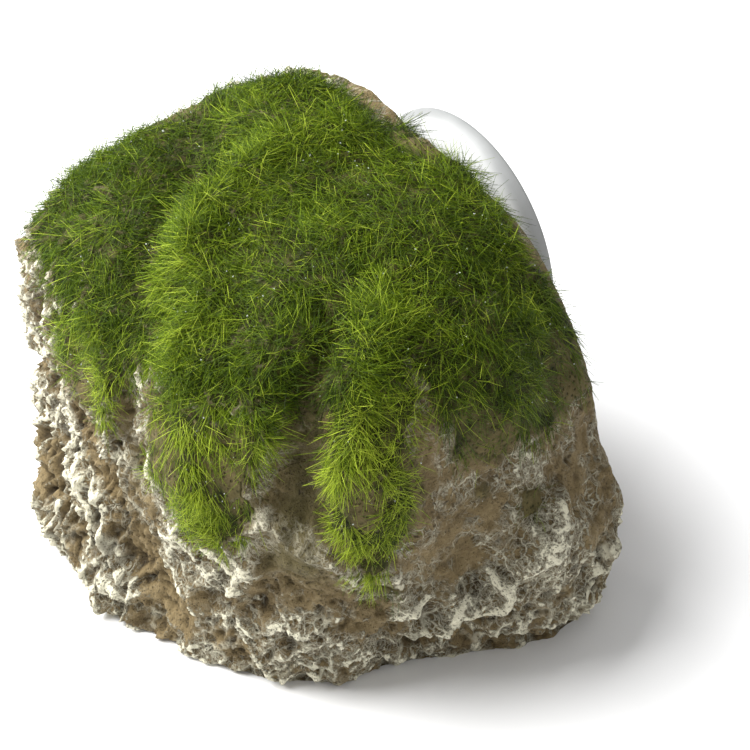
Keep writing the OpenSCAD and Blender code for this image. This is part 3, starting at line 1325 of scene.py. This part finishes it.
@dataclass
class MossCoat:
    """Nylon fibres that stand in the adhesive, patch by patch."""

    stone: StoneSkin
    density: float = 12.5
    length: float = 6.2
    length_spread: float = 0.6
    thickness: float = 0.094
    ragged: float = 2.8
    overhang: float = 3.0
    stray_share: float = 0.4
    sunk: float = 0.4
    tones: int = 24
    piece_fibres: int = 14000
    bend_share: float = 0.34
    straw_share: float = 0.09
    straw_lift: float = 0.4
    tone_spread: float = 0.14
    seed: int = 5
    patch: Array = field(init=False)
    covered: Array = field(init=False)
    near: Array = field(init=False)
    lat: Array = field(init=False)
    thick: Array = field(init=False)

    def spread_patches(self) -> None:
        """Finds which patch covers each point of the stone."""
        c = self.stone.cast
        f = Field(self.seed)
        rel = c.p - c.middle
        jitter = [
            f.swell(c.p + 29.0 * k, 7.0) + 0.6 * f.swell(c.p + 31.0 * k, 2.5) for k in range(3)
        ]
        ragged = self.ragged * np.stack(jitter, axis=1)
        lon = np.degrees(np.arctan2(rel[:, 0], -rel[:, 1]))
        behind = ease(95, 125, lon) + ease(-110, -150, lon)
        way = unit(rel + ragged + self.overhang * behind[:, None] * UP)
        lat = np.degrees(np.arcsin(way[:, 2]))
        self.patch = np.full(len(way), -1)
        middle = Vector(c.middle * MM)
        candidates = np.nonzero(lat > -16)[0]
        for number, patch in enumerate(Patch):
            tree = cad_tree("moss_" + patch.value)
            for k in candidates:
                if self.patch[k] < 0 and tree.ray_cast(middle, Vector(way[k]))[0]:
                    self.patch[k] = number
        covered = (self.patch >= 0).astype(float)
        near = covered
        for _ in range(10):
            near = c.blur(near)
        self.covered = covered
        self.near = near
        self.lat = lat

    def thin_out(self) -> None:
        """Works out how thickly the fibres stand at each point."""
        c = self.stone.cast
        f = Field(self.seed + 2)
        lat, near, covered = self.lat, self.near, self.covered
        thin = f.fractal(c.p + 63.0, 9.0, 3, 0.6)
        low_down = 1 - ease(10, 42, lat)
        streaky = f.fractal(c.p * np.array([1.0, 1.0, 0.3]) + 15.0, 6.5, 3, 0.6)
        spotty = ease(-0.75, 0.1, f.fractal(c.p + 27.0, 5.0, 3, 0.65))
        bare = ease(0.5, 0.85, thin) * 0.6 + low_down * (0.2 + ease(-0.3, 0.1, streaky) * 0.8)
        gain = 1 + 0.6 * self.stone.moss_gain
        edge = ease(0.3, 0.95, near)
        thick = np.clip(gain - bare, 0.05, 1.45) * (0.4 + 0.6 * spotty)
        self.thick = thick * (0.22 + 0.78 * edge) * covered
        self.thick[self.patch == list(Patch).index(Patch.STRAY)] *= self.stray_share

    def stain(self) -> Array:
        """Gives how much the moss stains the stone at each point."""
        return np.clip(self.near * 1.2 + self.stone.damp * 0.8, 0, 1)

    def build(self) -> None:
        """Makes the fibres of every patch."""
        material = FibreFinish().make()
        for number, patch in enumerate(Patch):
            rng = np.random.default_rng(self.seed * 100 + number)
            self._plant(number, patch, material, rng)

    def _plant(
        self, number: int, patch: Patch, material: bpy.types.Material, rng: np.random.Generator
    ) -> None:
        """Plants one patch.

        Args:
            number: The patch's number.
            patch: The patch.
            material: The fibres' material.
            rng: The patch's random draws.
        """
        s, c = self.stone, self.stone.cast
        quads = c.quads[(self.patch[c.quads] == number).sum(axis=1) >= 2]
        corners = s.p[quads]
        area = np.linalg.norm(
            np.cross(corners[:, 2] - corners[:, 0], corners[:, 3] - corners[:, 1]), axis=1
        ) / 2
        flat_area = np.minimum(area, 3 * np.median(area))
        expected = flat_area * self.density * self.thick[quads].mean(axis=1)
        count = np.floor(expected + rng.random(len(quads))).astype(int)
        pick = np.repeat(np.arange(len(quads)), count)
        u, v = rng.random(len(pick)), rng.random(len(pick))
        weights = np.stack([(1 - u) * (1 - v), u * (1 - v), u * v, (1 - u) * v], axis=1)
        chosen = quads[pick]
        root = np.einsum("ij,ijk->ik", weights, s.p[chosen])
        normal = unit(np.einsum("ij,ijk->ik", weights, s.macro_normal[chosen]))
        lift = np.einsum("ij,ij->i", weights, s.fold_h[chosen])
        points, faces, tips, layout = self._fibres(root, normal, lift, TONES[patch], rng)
        stands = ("moss_" + patch.value,)
        total = len(root)
        chunks = max(1, math.ceil(total / self.piece_fibres))
        order = np.argsort(root[:, 0], kind="stable")
        for k, part in enumerate(np.array_split(order, chunks)):
            name = f"moss_fibres_{patch.value}" + (f"_{k + 1}" if chunks > 1 else "")
            local = np.arange(len(part))[:, None, None] * 9
            piece = make_piece(
                name,
                points[part].reshape(-1, 3),
                [(faces + local).reshape(-1, 4), (tips + local).reshape(-1, 3)],
                [layout[0][part], layout[1][part]],
            )
            hand_over(piece, material, "stone", stands if k == 0 else ())

    def _fibres(
        self, root: Array, normal: Array, lift: Array, bright: float, rng: np.random.Generator
    ) -> tuple[Array, Array, Array, list[Array]]:
        """Shapes three-sided fibres with one bend.

        Args:
            root: Where each fibre stands.
            normal: The stone's direction there.
            lift: Height of the folds there, which lightens the tone as painted light.
            bright: The patch's middle tone, from 0 to 1.
            rng: The patch's random draws.

        Returns:
            Points of each fibre, its side faces and tip face, and their flat layout.
        """
        n = len(root)
        f = Field(self.seed + 1)
        flow = np.stack([f.swell(root + 41.0 * k, 15.0) for k in range(3)], axis=1)
        curl = np.stack([f.swell(root + 43.0 * k, 4.5) for k in range(3)], axis=1)
        flow = unit(flow + 0.4 * curl)
        flow -= np.einsum("ij,ij->i", flow, normal)[:, None] * normal
        stray = rng.normal(size=(n, 3))
        stray -= np.einsum("ij,ij->i", stray, normal)[:, None] * normal
        stray = unit(stray)
        drawn = 0.6 * f.fractal(root + 67.0, 5.0, 2)[:, None] * np.cross(normal, UP)
        comb = unit(drawn + stray * 0.8)
        stray = np.where(rng.random((n, 1)) < 0.5, comb, stray)
        lat = np.degrees(np.arcsin(unit(root - self.stone.cast.middle)[:, 2]))
        low_down = 1 - ease(8.0, 36.0, lat)
        level = rng.random(n)
        upright = 0.02 + (0.3 - 0.12 * low_down) * level**1.6
        loose = 0.3 + (0.7 - 0.25 * low_down[:, None]) * rng.random((n, 1))
        fall = normal * normal[:, 2:] - UP
        fall_share = (0.2 + 0.5 * low_down)[:, None]
        way = unit(upright[:, None] * normal + 0.5 * flow + fall_share * fall + loose * stray)
        bend = unit(rng.normal(size=(n, 3))) + 0.35 * flow - 0.4 * normal - 0.3 * UP
        bend = unit(bend)
        long = self.length * (1 - 0.18 * low_down) * (1 - self.length_spread * rng.random(n) ** 2)
        thick = self.thickness * (0.65 + 0.7 * rng.random(n)) / 2
        side = unit(np.cross(way, unit(rng.normal(size=(n, 3)))))
        other = np.cross(way, side)
        rings = []
        for along, taper in ((0.0, 1.0), (0.52, 0.95), (1.0, 0.55)):
            centre = root - self.sunk * normal
            droop = (long * self.bend_share * along**2)[:, None]
            centre = centre + way * (long * along)[:, None] + bend * droop
            for third in range(3):
                a = math.tau * third / 3
                out = side * math.cos(a) + other * math.sin(a)
                rings.append(centre + (thick * taper)[:, None] * out)
        points = np.stack(rings, axis=1)
        sides = [
            [3 * r + k, 3 * r + (k + 1) % 3, 3 * r + 3 + (k + 1) % 3, 3 * r + 3 + k]
            for r in range(2)
            for k in range(3)
        ]
        faces = np.array(sides)[None]
        tips = np.array([[6, 7, 8]])[None]
        clump = f.fractal(root + 83.0, 8.0, 2)
        patchy = f.swell(root + 7.0, 3.0)
        scatter = self.tone_spread * rng.normal(size=n)
        # Painted light and shade in the tone: fibres on raised folds and fibres standing more
        # upright are lighter, fibres toward the right are darker; clumps, patches, scatter and straw
        # are the dye's own variation.
        tone = bright + 0.08 * lift + 0.17 * clump + 0.1 * patchy + scatter
        to_right = unit(root - self.stone.cast.middle)[:, 0]
        tone += 0.42 * (level - 0.5) - 0.07 * ease(0.55, 0.95, to_right)
        tone += self.straw_lift * (rng.random(n) < self.straw_share)
        column = np.floor(np.clip(tone, 0, 0.999) * self.tones)
        left = (column + 0.2) / self.tones
        right = (column + 0.8) / self.tones
        heights = (0.03, 0.5, 0.97)
        side_map = np.zeros((n, 6, 4, 2))
        for r in range(2):
            for k in range(3):
                face = 3 * r + k
                side_map[:, face, 0, 0] = left
                side_map[:, face, 1, 0] = right
                side_map[:, face, 2, 0] = right
                side_map[:, face, 3, 0] = left
                side_map[:, face, :2, 1] = heights[r]
                side_map[:, face, 2:, 1] = heights[r + 1]
        tip_map = np.zeros((n, 1, 3, 2))
        tip_map[:, 0, 0, 0] = left
        tip_map[:, 0, 1, 0] = right
        tip_map[:, 0, 2, 0] = right
        tip_map[:, 0, :, 1] = np.array([0.96, 0.96, 0.985])
        return points, faces, tips, [side_map, tip_map]


@dataclass
class AdhesiveFilm:
    """The clear adhesive under the moss, and the drops that stayed among the fibres."""

    coat: MossCoat
    thickness: float = 0.16
    root: float = 0.9
    inset: float = 0.56
    drops: int = 340
    drop_r: float = 0.085
    seed: int = 21

    def build(self) -> None:
        """Makes a film for every patch, and the drops."""
        # The film's dark colour is painted shade between the fibres; the adhesive itself is clear.
        material = GlueFinish().make()
        s, c = self.coat.stone, self.coat.stone.cast
        coarse = self._coarse_quads(c)
        soft = s.p
        for _ in range(2):
            soft = c.blur(soft)
        for number, patch in enumerate(Patch):
            mine = coarse[(self.coat.patch[coarse] == number).all(axis=1)]
            if patch is not Patch.STRAY:
                mine = mine[(self.coat.near[mine] > self.inset).all(axis=1)]
            points, faces, used = self._sheet(mine, soft, s.macro_normal)
            values = {"bare": np.tile(1 - np.clip(self.coat.thick[used], 0, 1), 2)}
            piece = make_piece("adhesive_film_" + patch.value, points, faces, values=values)
            hand_over(piece, material, "stone", ("adhesive_" + patch.value,))
        self._drops()

    @staticmethod
    def _coarse_quads(c: Casting) -> Array:
        """Gives squares twice as wide as the stone's.

        Args:
            c: The casting.

        Returns:
            Four point numbers a square.
        """
        number = {int(code): k for k, code in enumerate(c.code(c.seats))}
        quads = []
        step = np.arange(0, c.across, 2)
        i, j = np.meshgrid(step, step, indexing="ij")
        for face in range(6):
            ring = []
            for di, dj in ((0, 0), (2, 0), (2, 2), (0, 2)):
                codes = c.code(c.seats_on(face, i + di, j + dj))
                ring.append([number[int(code)] for code in codes])
            square = np.array(ring).T
            quads.append(square if face % 2 else square[:, ::-1])
        return np.concatenate(quads)

    def _sheet(
        self, quads: Array, points: Array, normal: Array
    ) -> tuple[Array, list[Array], Array]:
        """Makes a sheet with its rim turned down into the stone.

        Args:
            quads: Squares of the sheet.
            points: Points of the stone.
            normal: Its normals.

        Returns:
            The sheet's points and faces, and the stone's points that it covers.
        """
        used, local = np.unique(quads, return_inverse=True)
        local = local.reshape(quads.shape)
        top = points[used] + normal[used] * self.thickness
        deep = points[used] - normal[used] * self.root
        skirt = rim_wall(local, len(used))
        floor = local[:, ::-1] + len(used)
        return np.concatenate([top, deep]), [np.concatenate([local, skirt, floor])], used

    def _drops(self) -> None:
        """Makes the drops of glue."""
        s = self.coat.stone
        rng = np.random.default_rng(self.seed)
        shell = bmesh.new()
        bmesh.ops.create_icosphere(shell, subdivisions=2, radius=1.0)
        ball = np.array([v.co[:] for v in shell.verts])
        tris = np.array([[v.index for v in face.verts] for face in shell.faces])
        shell.free()
        clusters = Field(self.seed + 1).fractal(s.p, 7.0, 2)
        covered = np.nonzero((self.coat.covered > 0) & (clusters > 0.28))[0]
        chosen = rng.choice(covered, self.drops, replace=False)
        points, faces = [], []
        for k, seat in enumerate(chosen):
            size = self.drop_r * (0.6 + 1.3 * rng.random() ** 2)
            wobble = 1 + 0.25 * rng.normal(size=3)
            at = s.p[seat] + s.macro_normal[seat] * (0.5 + 1.7 * rng.random())
            points.append(at + ball * size * wobble)
            faces.append(tris + k * len(ball))
        piece = make_piece("glue_beads", np.concatenate(points), [np.concatenate(faces)])
        hand_over(piece, BeadFinish().make(), "stone")


# ---------------------------------------------------------------- cup and back


@dataclass
class SuctionCup:
    """Soft cup turned round its axis: head, neck and skirt."""

    head_d: float = 12.0
    head_l: float = 4.0
    neck_d: float = 8.4
    depth: float = 8.0
    middle_t: float = 2.4
    lip_t: float = 0.7
    land: float = 1.2
    sides: int = 160

    def profile(self, reach: float, head_y: float, lip_y: float) -> tuple[Array, Array]:
        """Gives the half section.

        Args:
            reach: Radius of the lip.
            head_y: Where the head begins, along the axis.
            lip_y: Where the lip ends, along the axis.

        Returns:
            Radius of each point and its place on the axis, and how near it is to the lip.
        """
        head, neck = self.head_d / 2, self.neck_d / 2
        back = lip_y - self.depth
        turn = np.radians(np.linspace(0, 90, 28))
        outer_r = neck + (reach - neck) * np.sin(turn)
        outer_y = back + (self.depth - self.lip_t) * (1 - np.cos(turn))
        outer_y = outer_y - 0.35 * np.exp(-(((outer_r - 0.84 * reach) / 0.7) ** 2))
        inner_r = (reach - self.land) * np.sin(turn[::-1])
        inner_y = back + self.middle_t + (self.depth - self.middle_t) * (1 - np.cos(turn[::-1]))
        shoulder = head_y + self.head_l
        knots = [(0.01, head_y), (head - 1.2, head_y)]
        knots += [(head - 0.35, head_y + 0.3), (head, head_y + 1.1)]
        knots += [(head, shoulder - 0.4), (head - 0.4, shoulder)]
        knots += [(neck + 0.3, shoulder), (neck, shoulder + 0.4), (neck, back - 0.4)]
        knots += [(r, y) for r, y in zip(outer_r, outer_y)][1:]
        knots += [(reach, lip_y - 0.25), (reach - 0.2, lip_y), (reach - self.land + 0.1, lip_y)]
        knots += [(max(r, 0.01), y) for r, y in zip(inner_r, inner_y)][1:]
        line = np.array(knots)
        near_lip = ease(0.93, 0.99, line[:, 0] / reach)
        return line, near_lip

    def build(self) -> None:
        """Makes the cup."""
        low, high = box_of("suction_cup")
        centre = (low + high) / 2
        line, near_lip = self.profile((high[0] - low[0]) / 2, low[1], high[1])
        turn = np.linspace(0, math.tau, self.sides, endpoint=False)
        rings = np.stack(
            [
                centre[0] + line[:, :1] * np.cos(turn),
                np.repeat(line[:, 1:], self.sides, axis=1),
                centre[2] + line[:, :1] * np.sin(turn),
            ],
            axis=-1,
        )
        count = len(line)
        k = np.arange(count * self.sides).reshape(count, self.sides)
        nxt = np.roll(k, -1, axis=1)
        quads = np.stack([k[:-1], nxt[:-1], nxt[1:], k[1:]], axis=-1).reshape(-1, 4)[:, ::-1]
        # The edge values mark the rim, where the cup's finish paints a dark line as shade.
        values = {"edge": np.repeat(near_lip, self.sides)}
        piece = make_piece("suction_cup_skirt", rings.reshape(-1, 3), [quads], values=values)
        hand_over(piece, CupFinish().make(), "cup", ("suction_cup",))


@dataclass
class BackPlate:
    """Resin plate that closes the back, with its bond squeezed out round it."""

    cast: Casting
    proud: float = 0.45
    thickness: float = 3.6
    spacing: float = 0.9
    edge_round: float = 1.1
    socket_r: float = 9.1
    hole_gap: float = 0.25
    vent_r: float = 2.5
    bead_r: float = 0.85
    seed: int = 33

    def holes(self) -> list[tuple[float, float, float]]:
        """Gives the holes in the plate, as seen from behind.

        Returns:
            Middle and radius of the socket's hole and of the two vents.
        """
        low, high = box_of("cup_socket")
        cup_low, cup_high = box_of("suction_cup")
        reach = (cup_high[0] - cup_low[0]) / 2
        x, z = (low[0] + high[0]) / 2, (low[2] + high[2]) / 2
        return [
            (x, z, self.socket_r + self.hole_gap),
            (x + reach / 2, z - reach, self.vent_r),
            (x + reach, z + reach / 6, self.vent_r),
        ]

    def build(self) -> None:
        """Makes the plate and the bead of bond."""
        outline = self._even(self.cast.plate_outline())
        points, tris = self._fill(outline)
        noise = Field(self.seed)
        inner = inside_outline(points, self.cast.plate_outline(), 0.0)
        for x, z, r in self.holes():
            inner = np.minimum(inner, np.hypot(points[:, 0] - x, points[:, 1] - z) - r)
        depth = np.clip(inner / self.edge_round, 0, 1)
        dome = np.sqrt(1 - (1 - depth) ** 2)
        flat3 = np.stack([points[:, 0], np.zeros(len(points)), points[:, 1]], axis=1)
        wave = 0.22 * noise.fractal(flat3, 11.0, 3) + 0.1 * noise.fractal(flat3 + 50, 1.8, 2)
        front = self.cast.high[1] + self.proud * (0.15 + 0.85 * dome)
        front = front + wave * (0.2 + 0.8 * dome) * 0.6
        top = np.stack([points[:, 0], front, points[:, 1]], axis=1)
        low = top.copy()
        low[:, 1] = self.cast.high[1] - self.thickness
        n = len(points)
        faces = [np.concatenate([tris, tris[:, ::-1] + n]), rim_wall(tris, n)]
        piece = make_piece("back_plate_cast", np.concatenate([top, low]), faces)
        hand_over(piece, ResinFinish().make(), "stone", ("back_plate",))
        self._bead(outline)

    def _even(self, outline: Array) -> Array:
        """Spaces the outline's points evenly.

        Args:
            outline: The corners.

        Returns:
            The new points, going round.
        """
        closed = np.concatenate([outline, outline[:1]])
        run = np.concatenate([[0], np.cumsum(np.linalg.norm(np.diff(closed, axis=0), axis=1))])
        count = int(run[-1] / self.spacing)
        at = np.linspace(0, run[-1], count, endpoint=False)
        return np.stack([np.interp(at, run, closed[:, k]) for k in range(2)], axis=1)

    def _fill(self, outline: Array) -> tuple[Array, Array]:
        """Fills the outline with triangles, leaving the holes open.

        Args:
            outline: The outline's points.

        Returns:
            Points and triangles, facing backwards.
        """
        loops = [outline]
        for x, z, r in self.holes():
            turn = np.linspace(0, math.tau, max(24, int(math.tau * r / 0.6)), endpoint=False)
            loops.append(np.stack([x + r * np.cos(turn), z + r * np.sin(turn)], axis=1))
        low, high = outline.min(axis=0), outline.max(axis=0)
        gx, gz = np.meshgrid(*(np.arange(low[k], high[k], self.spacing) for k in range(2)))
        grid = np.stack([gx.ravel(), gz.ravel()], axis=1)
        rng = np.random.default_rng(self.seed)
        grid = grid + (rng.random(grid.shape) - 0.5) * 0.3 * self.spacing
        keep = inside_outline(grid, outline, 0.0) > 0.45
        for x, z, r in self.holes():
            keep &= np.hypot(grid[:, 0] - x, grid[:, 1] - z) > r + 0.4
        verts = [Vector(p) for loop in loops for p in loop] + [Vector(p) for p in grid[keep]]
        edges = []
        first = 0
        for loop in loops:
            m = len(loop)
            edges += [(first + k, first + (k + 1) % m) for k in range(m)]
            first += m
        out = geometry.delaunay_2d_cdt(verts, edges, [], 1, 1e-5)
        points = np.array([p[:] for p in out[0]])
        tris = np.array([t[:] for t in out[2]])
        centre = points[tris].mean(axis=1)
        solid = inside_outline(centre, outline, 0.0) > 0
        for x, z, r in self.holes():
            solid &= np.hypot(centre[:, 0] - x, centre[:, 1] - z) > r * 0.999
        tris = tris[solid]
        a, b, c = (points[tris[:, k]] for k in range(3))
        ab, ac = b - a, c - a
        turn = ab[:, 0] * ac[:, 1] - ab[:, 1] * ac[:, 0]
        tris = np.where((turn > 0)[:, None], tris[:, ::-1], tris)
        return points, tris

    def _bead(self, outline: Array) -> None:
        """Makes the bead of bond round the plate.

        Args:
            outline: The plate's outline.
        """
        noise = Field(self.seed + 1)
        m, sides = len(outline), 12
        ahead = np.roll(outline, -1, axis=0) - np.roll(outline, 1, axis=0)
        run = unit(ahead)
        out = np.stack([run[:, 1], -run[:, 0]], axis=1)
        centre = outline.mean(axis=0)
        out = np.where((np.einsum("ij,ij->i", out, outline - centre) < 0)[:, None], -out, out)
        flat3 = np.stack([outline[:, 0], np.zeros(m), outline[:, 1]], axis=1)
        size = self.bead_r * (1 + 0.4 * noise.fractal(flat3, 7.0, 3))
        rings = []
        for k in range(sides):
            a = math.tau * k / sides
            wide = 1.35 * math.cos(a)
            tall = 0.6 * math.sin(a)
            edge = outline + out * (size * wide + 0.1)[:, None]
            back = self.cast.high[1] + 0.15 + size * tall
            rings.append(np.stack([edge[:, 0], back, edge[:, 1]], axis=1))
        points = np.stack(rings, axis=1).reshape(-1, 3)
        k = np.arange(m * sides).reshape(m, sides)
        nxt = np.roll(k, -1, axis=0)
        ring = [k, np.roll(k, -1, axis=1), np.roll(nxt, -1, axis=1), nxt]
        quads = np.stack(ring, axis=-1).reshape(-1, 4)
        piece = make_piece("plate_bond_bead", points, [quads])
        hand_over(piece, BondFinish().make(), "stone", ("plate_bond",))


@dataclass
class CupSocket:
    """The socket keeps its CAD shape and gets its finish."""

    def dress(self) -> None:
        """Gives the socket its material."""
        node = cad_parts["cup_socket"]
        material = SocketFinish().make()
        for seat in node.material_slots:
            seat.material = material
        LOG.info("cup_socket: dressed")


# ---------------------------------------------------------------- studio


@dataclass
class Studio:
    """Pale floor, soft light and the camera."""

    azimuth: float = 52.0
    elevation: float = 40.0
    lens: float = 180.0
    distance: float = 14.0
    aim_right: float = -0.347
    aim_up: float = -0.534
    key_power: float = 28.0
    key_size: float = 0.9
    fill_power: float = 0.8
    fill_size: float = 0.7
    sky: float = 0.46
    floor_half: float = 1500.0

    def build(self) -> None:
        """Sets up floor, lights and camera."""
        self._floor()
        self._world()
        low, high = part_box("stone_shell")
        aim = (low + high) / 2
        right, ahead, up = self._axes()
        key = aim - right * 0.6 + up * 0.62 - ahead * 0.35
        fill = aim + right * 0.7 + up * 0.1 - ahead * 0.5
        self._area("key", key, aim, self.key_size, self.key_power)
        self._area("fill", fill, aim, self.fill_size, self.fill_power)
        self._camera(right, ahead, up)

    def _axes(self) -> tuple[Vector, Vector, Vector]:
        """Gives the camera's directions.

        Returns:
            Its right, forward and up.
        """
        a, e = math.radians(self.azimuth), math.radians(self.elevation)
        right = Vector((math.cos(a), math.sin(a), 0.0))
        ahead = Vector((-math.sin(a) * math.cos(e), math.cos(a) * math.cos(e), -math.sin(e)))
        return right, ahead, right.cross(ahead)

    def _floor(self) -> None:
        """Lays the floor."""
        steps = np.linspace(-self.floor_half, self.floor_half, 9)
        gx, gy = np.meshgrid(steps, steps, indexing="ij")
        points = np.stack([gx.ravel(), gy.ravel(), np.zeros(gx.size)], axis=1)
        quads = grid_quads(np.arange(gx.size).reshape(gx.shape))
        floor = make_piece("studio_floor", points, [quads])
        floor.data.materials.append(FloorFinish().make())

    def _world(self) -> None:
        """Lights the scene evenly from all round."""
        world = bpy.data.worlds.new("studio_air")
        world.use_nodes = True
        back = world.node_tree.nodes["Background"]
        back.inputs["Color"].default_value = (1.0, 1.0, 1.0, 1.0)
        back.inputs["Strength"].default_value = self.sky
        bpy.context.scene.world = world
        bpy.context.scene.view_settings.view_transform = "Standard"

    @staticmethod
    def _area(name: str, place: Vector, aim: Vector, size: float, power: float) -> None:
        """Hangs a soft light.

        Args:
            name: The light's name.
            place: Where it hangs.
            aim: What it faces.
            size: Its width.
            power: Its power.
        """
        lamp = bpy.data.lights.new(name, "AREA")
        lamp.shape = "DISK"
        lamp.size = size
        lamp.energy = power
        holder = bpy.data.objects.new(name, lamp)
        holder.location = place
        holder.rotation_euler = (aim - place).to_track_quat("-Z", "Y").to_euler()
        bpy.context.scene.collection.objects.link(holder)

    def _camera(self, right: Vector, ahead: Vector, up: Vector) -> None:
        """Places the camera from the cup's lip.

        Args:
            right: The camera's right.
            ahead: Where it looks.
            up: Its up.
        """
        low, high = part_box("suction_cup")
        width = high.x - low.x
        lip = Vector(((low.x + high.x) / 2, high.y, (low.z + high.z) / 2))
        aim = lip + (right * self.aim_right + up * self.aim_up) * width
        lens = bpy.data.cameras.new("camera")
        lens.lens = self.lens
        lens.sensor_width = 36.0
        lens.clip_start = 0.01
        camera = bpy.data.objects.new("camera", lens)
        camera.location = aim - ahead * (width * self.distance)
        camera.rotation_euler = ahead.to_track_quat("-Z", "Y").to_euler()
        bpy.context.scene.collection.objects.link(camera)
        bpy.context.scene.camera = camera


def main() -> None:
    """Builds the ornament in order and sets the scene."""
    logging.basicConfig(level=logging.INFO, format="%(name)s: %(message)s")
    cast = Casting()
    LOG.info("casting measured at %d points", len(cast.d))
    stone = StoneSkin(cast)
    coat = MossCoat(stone)
    coat.spread_patches()
    LOG.info("patches spread")
    stone.shape(coat.near)
    coat.thin_out()
    LOG.info("relief worked")
    stone.build(coat.stain())
    AdhesiveFilm(coat).build()
    coat.build()
    SuctionCup().build()
    BackPlate(cast).build()
    CupSocket().dress()
    Studio().build()


if __name__ == "__main__":
    main()
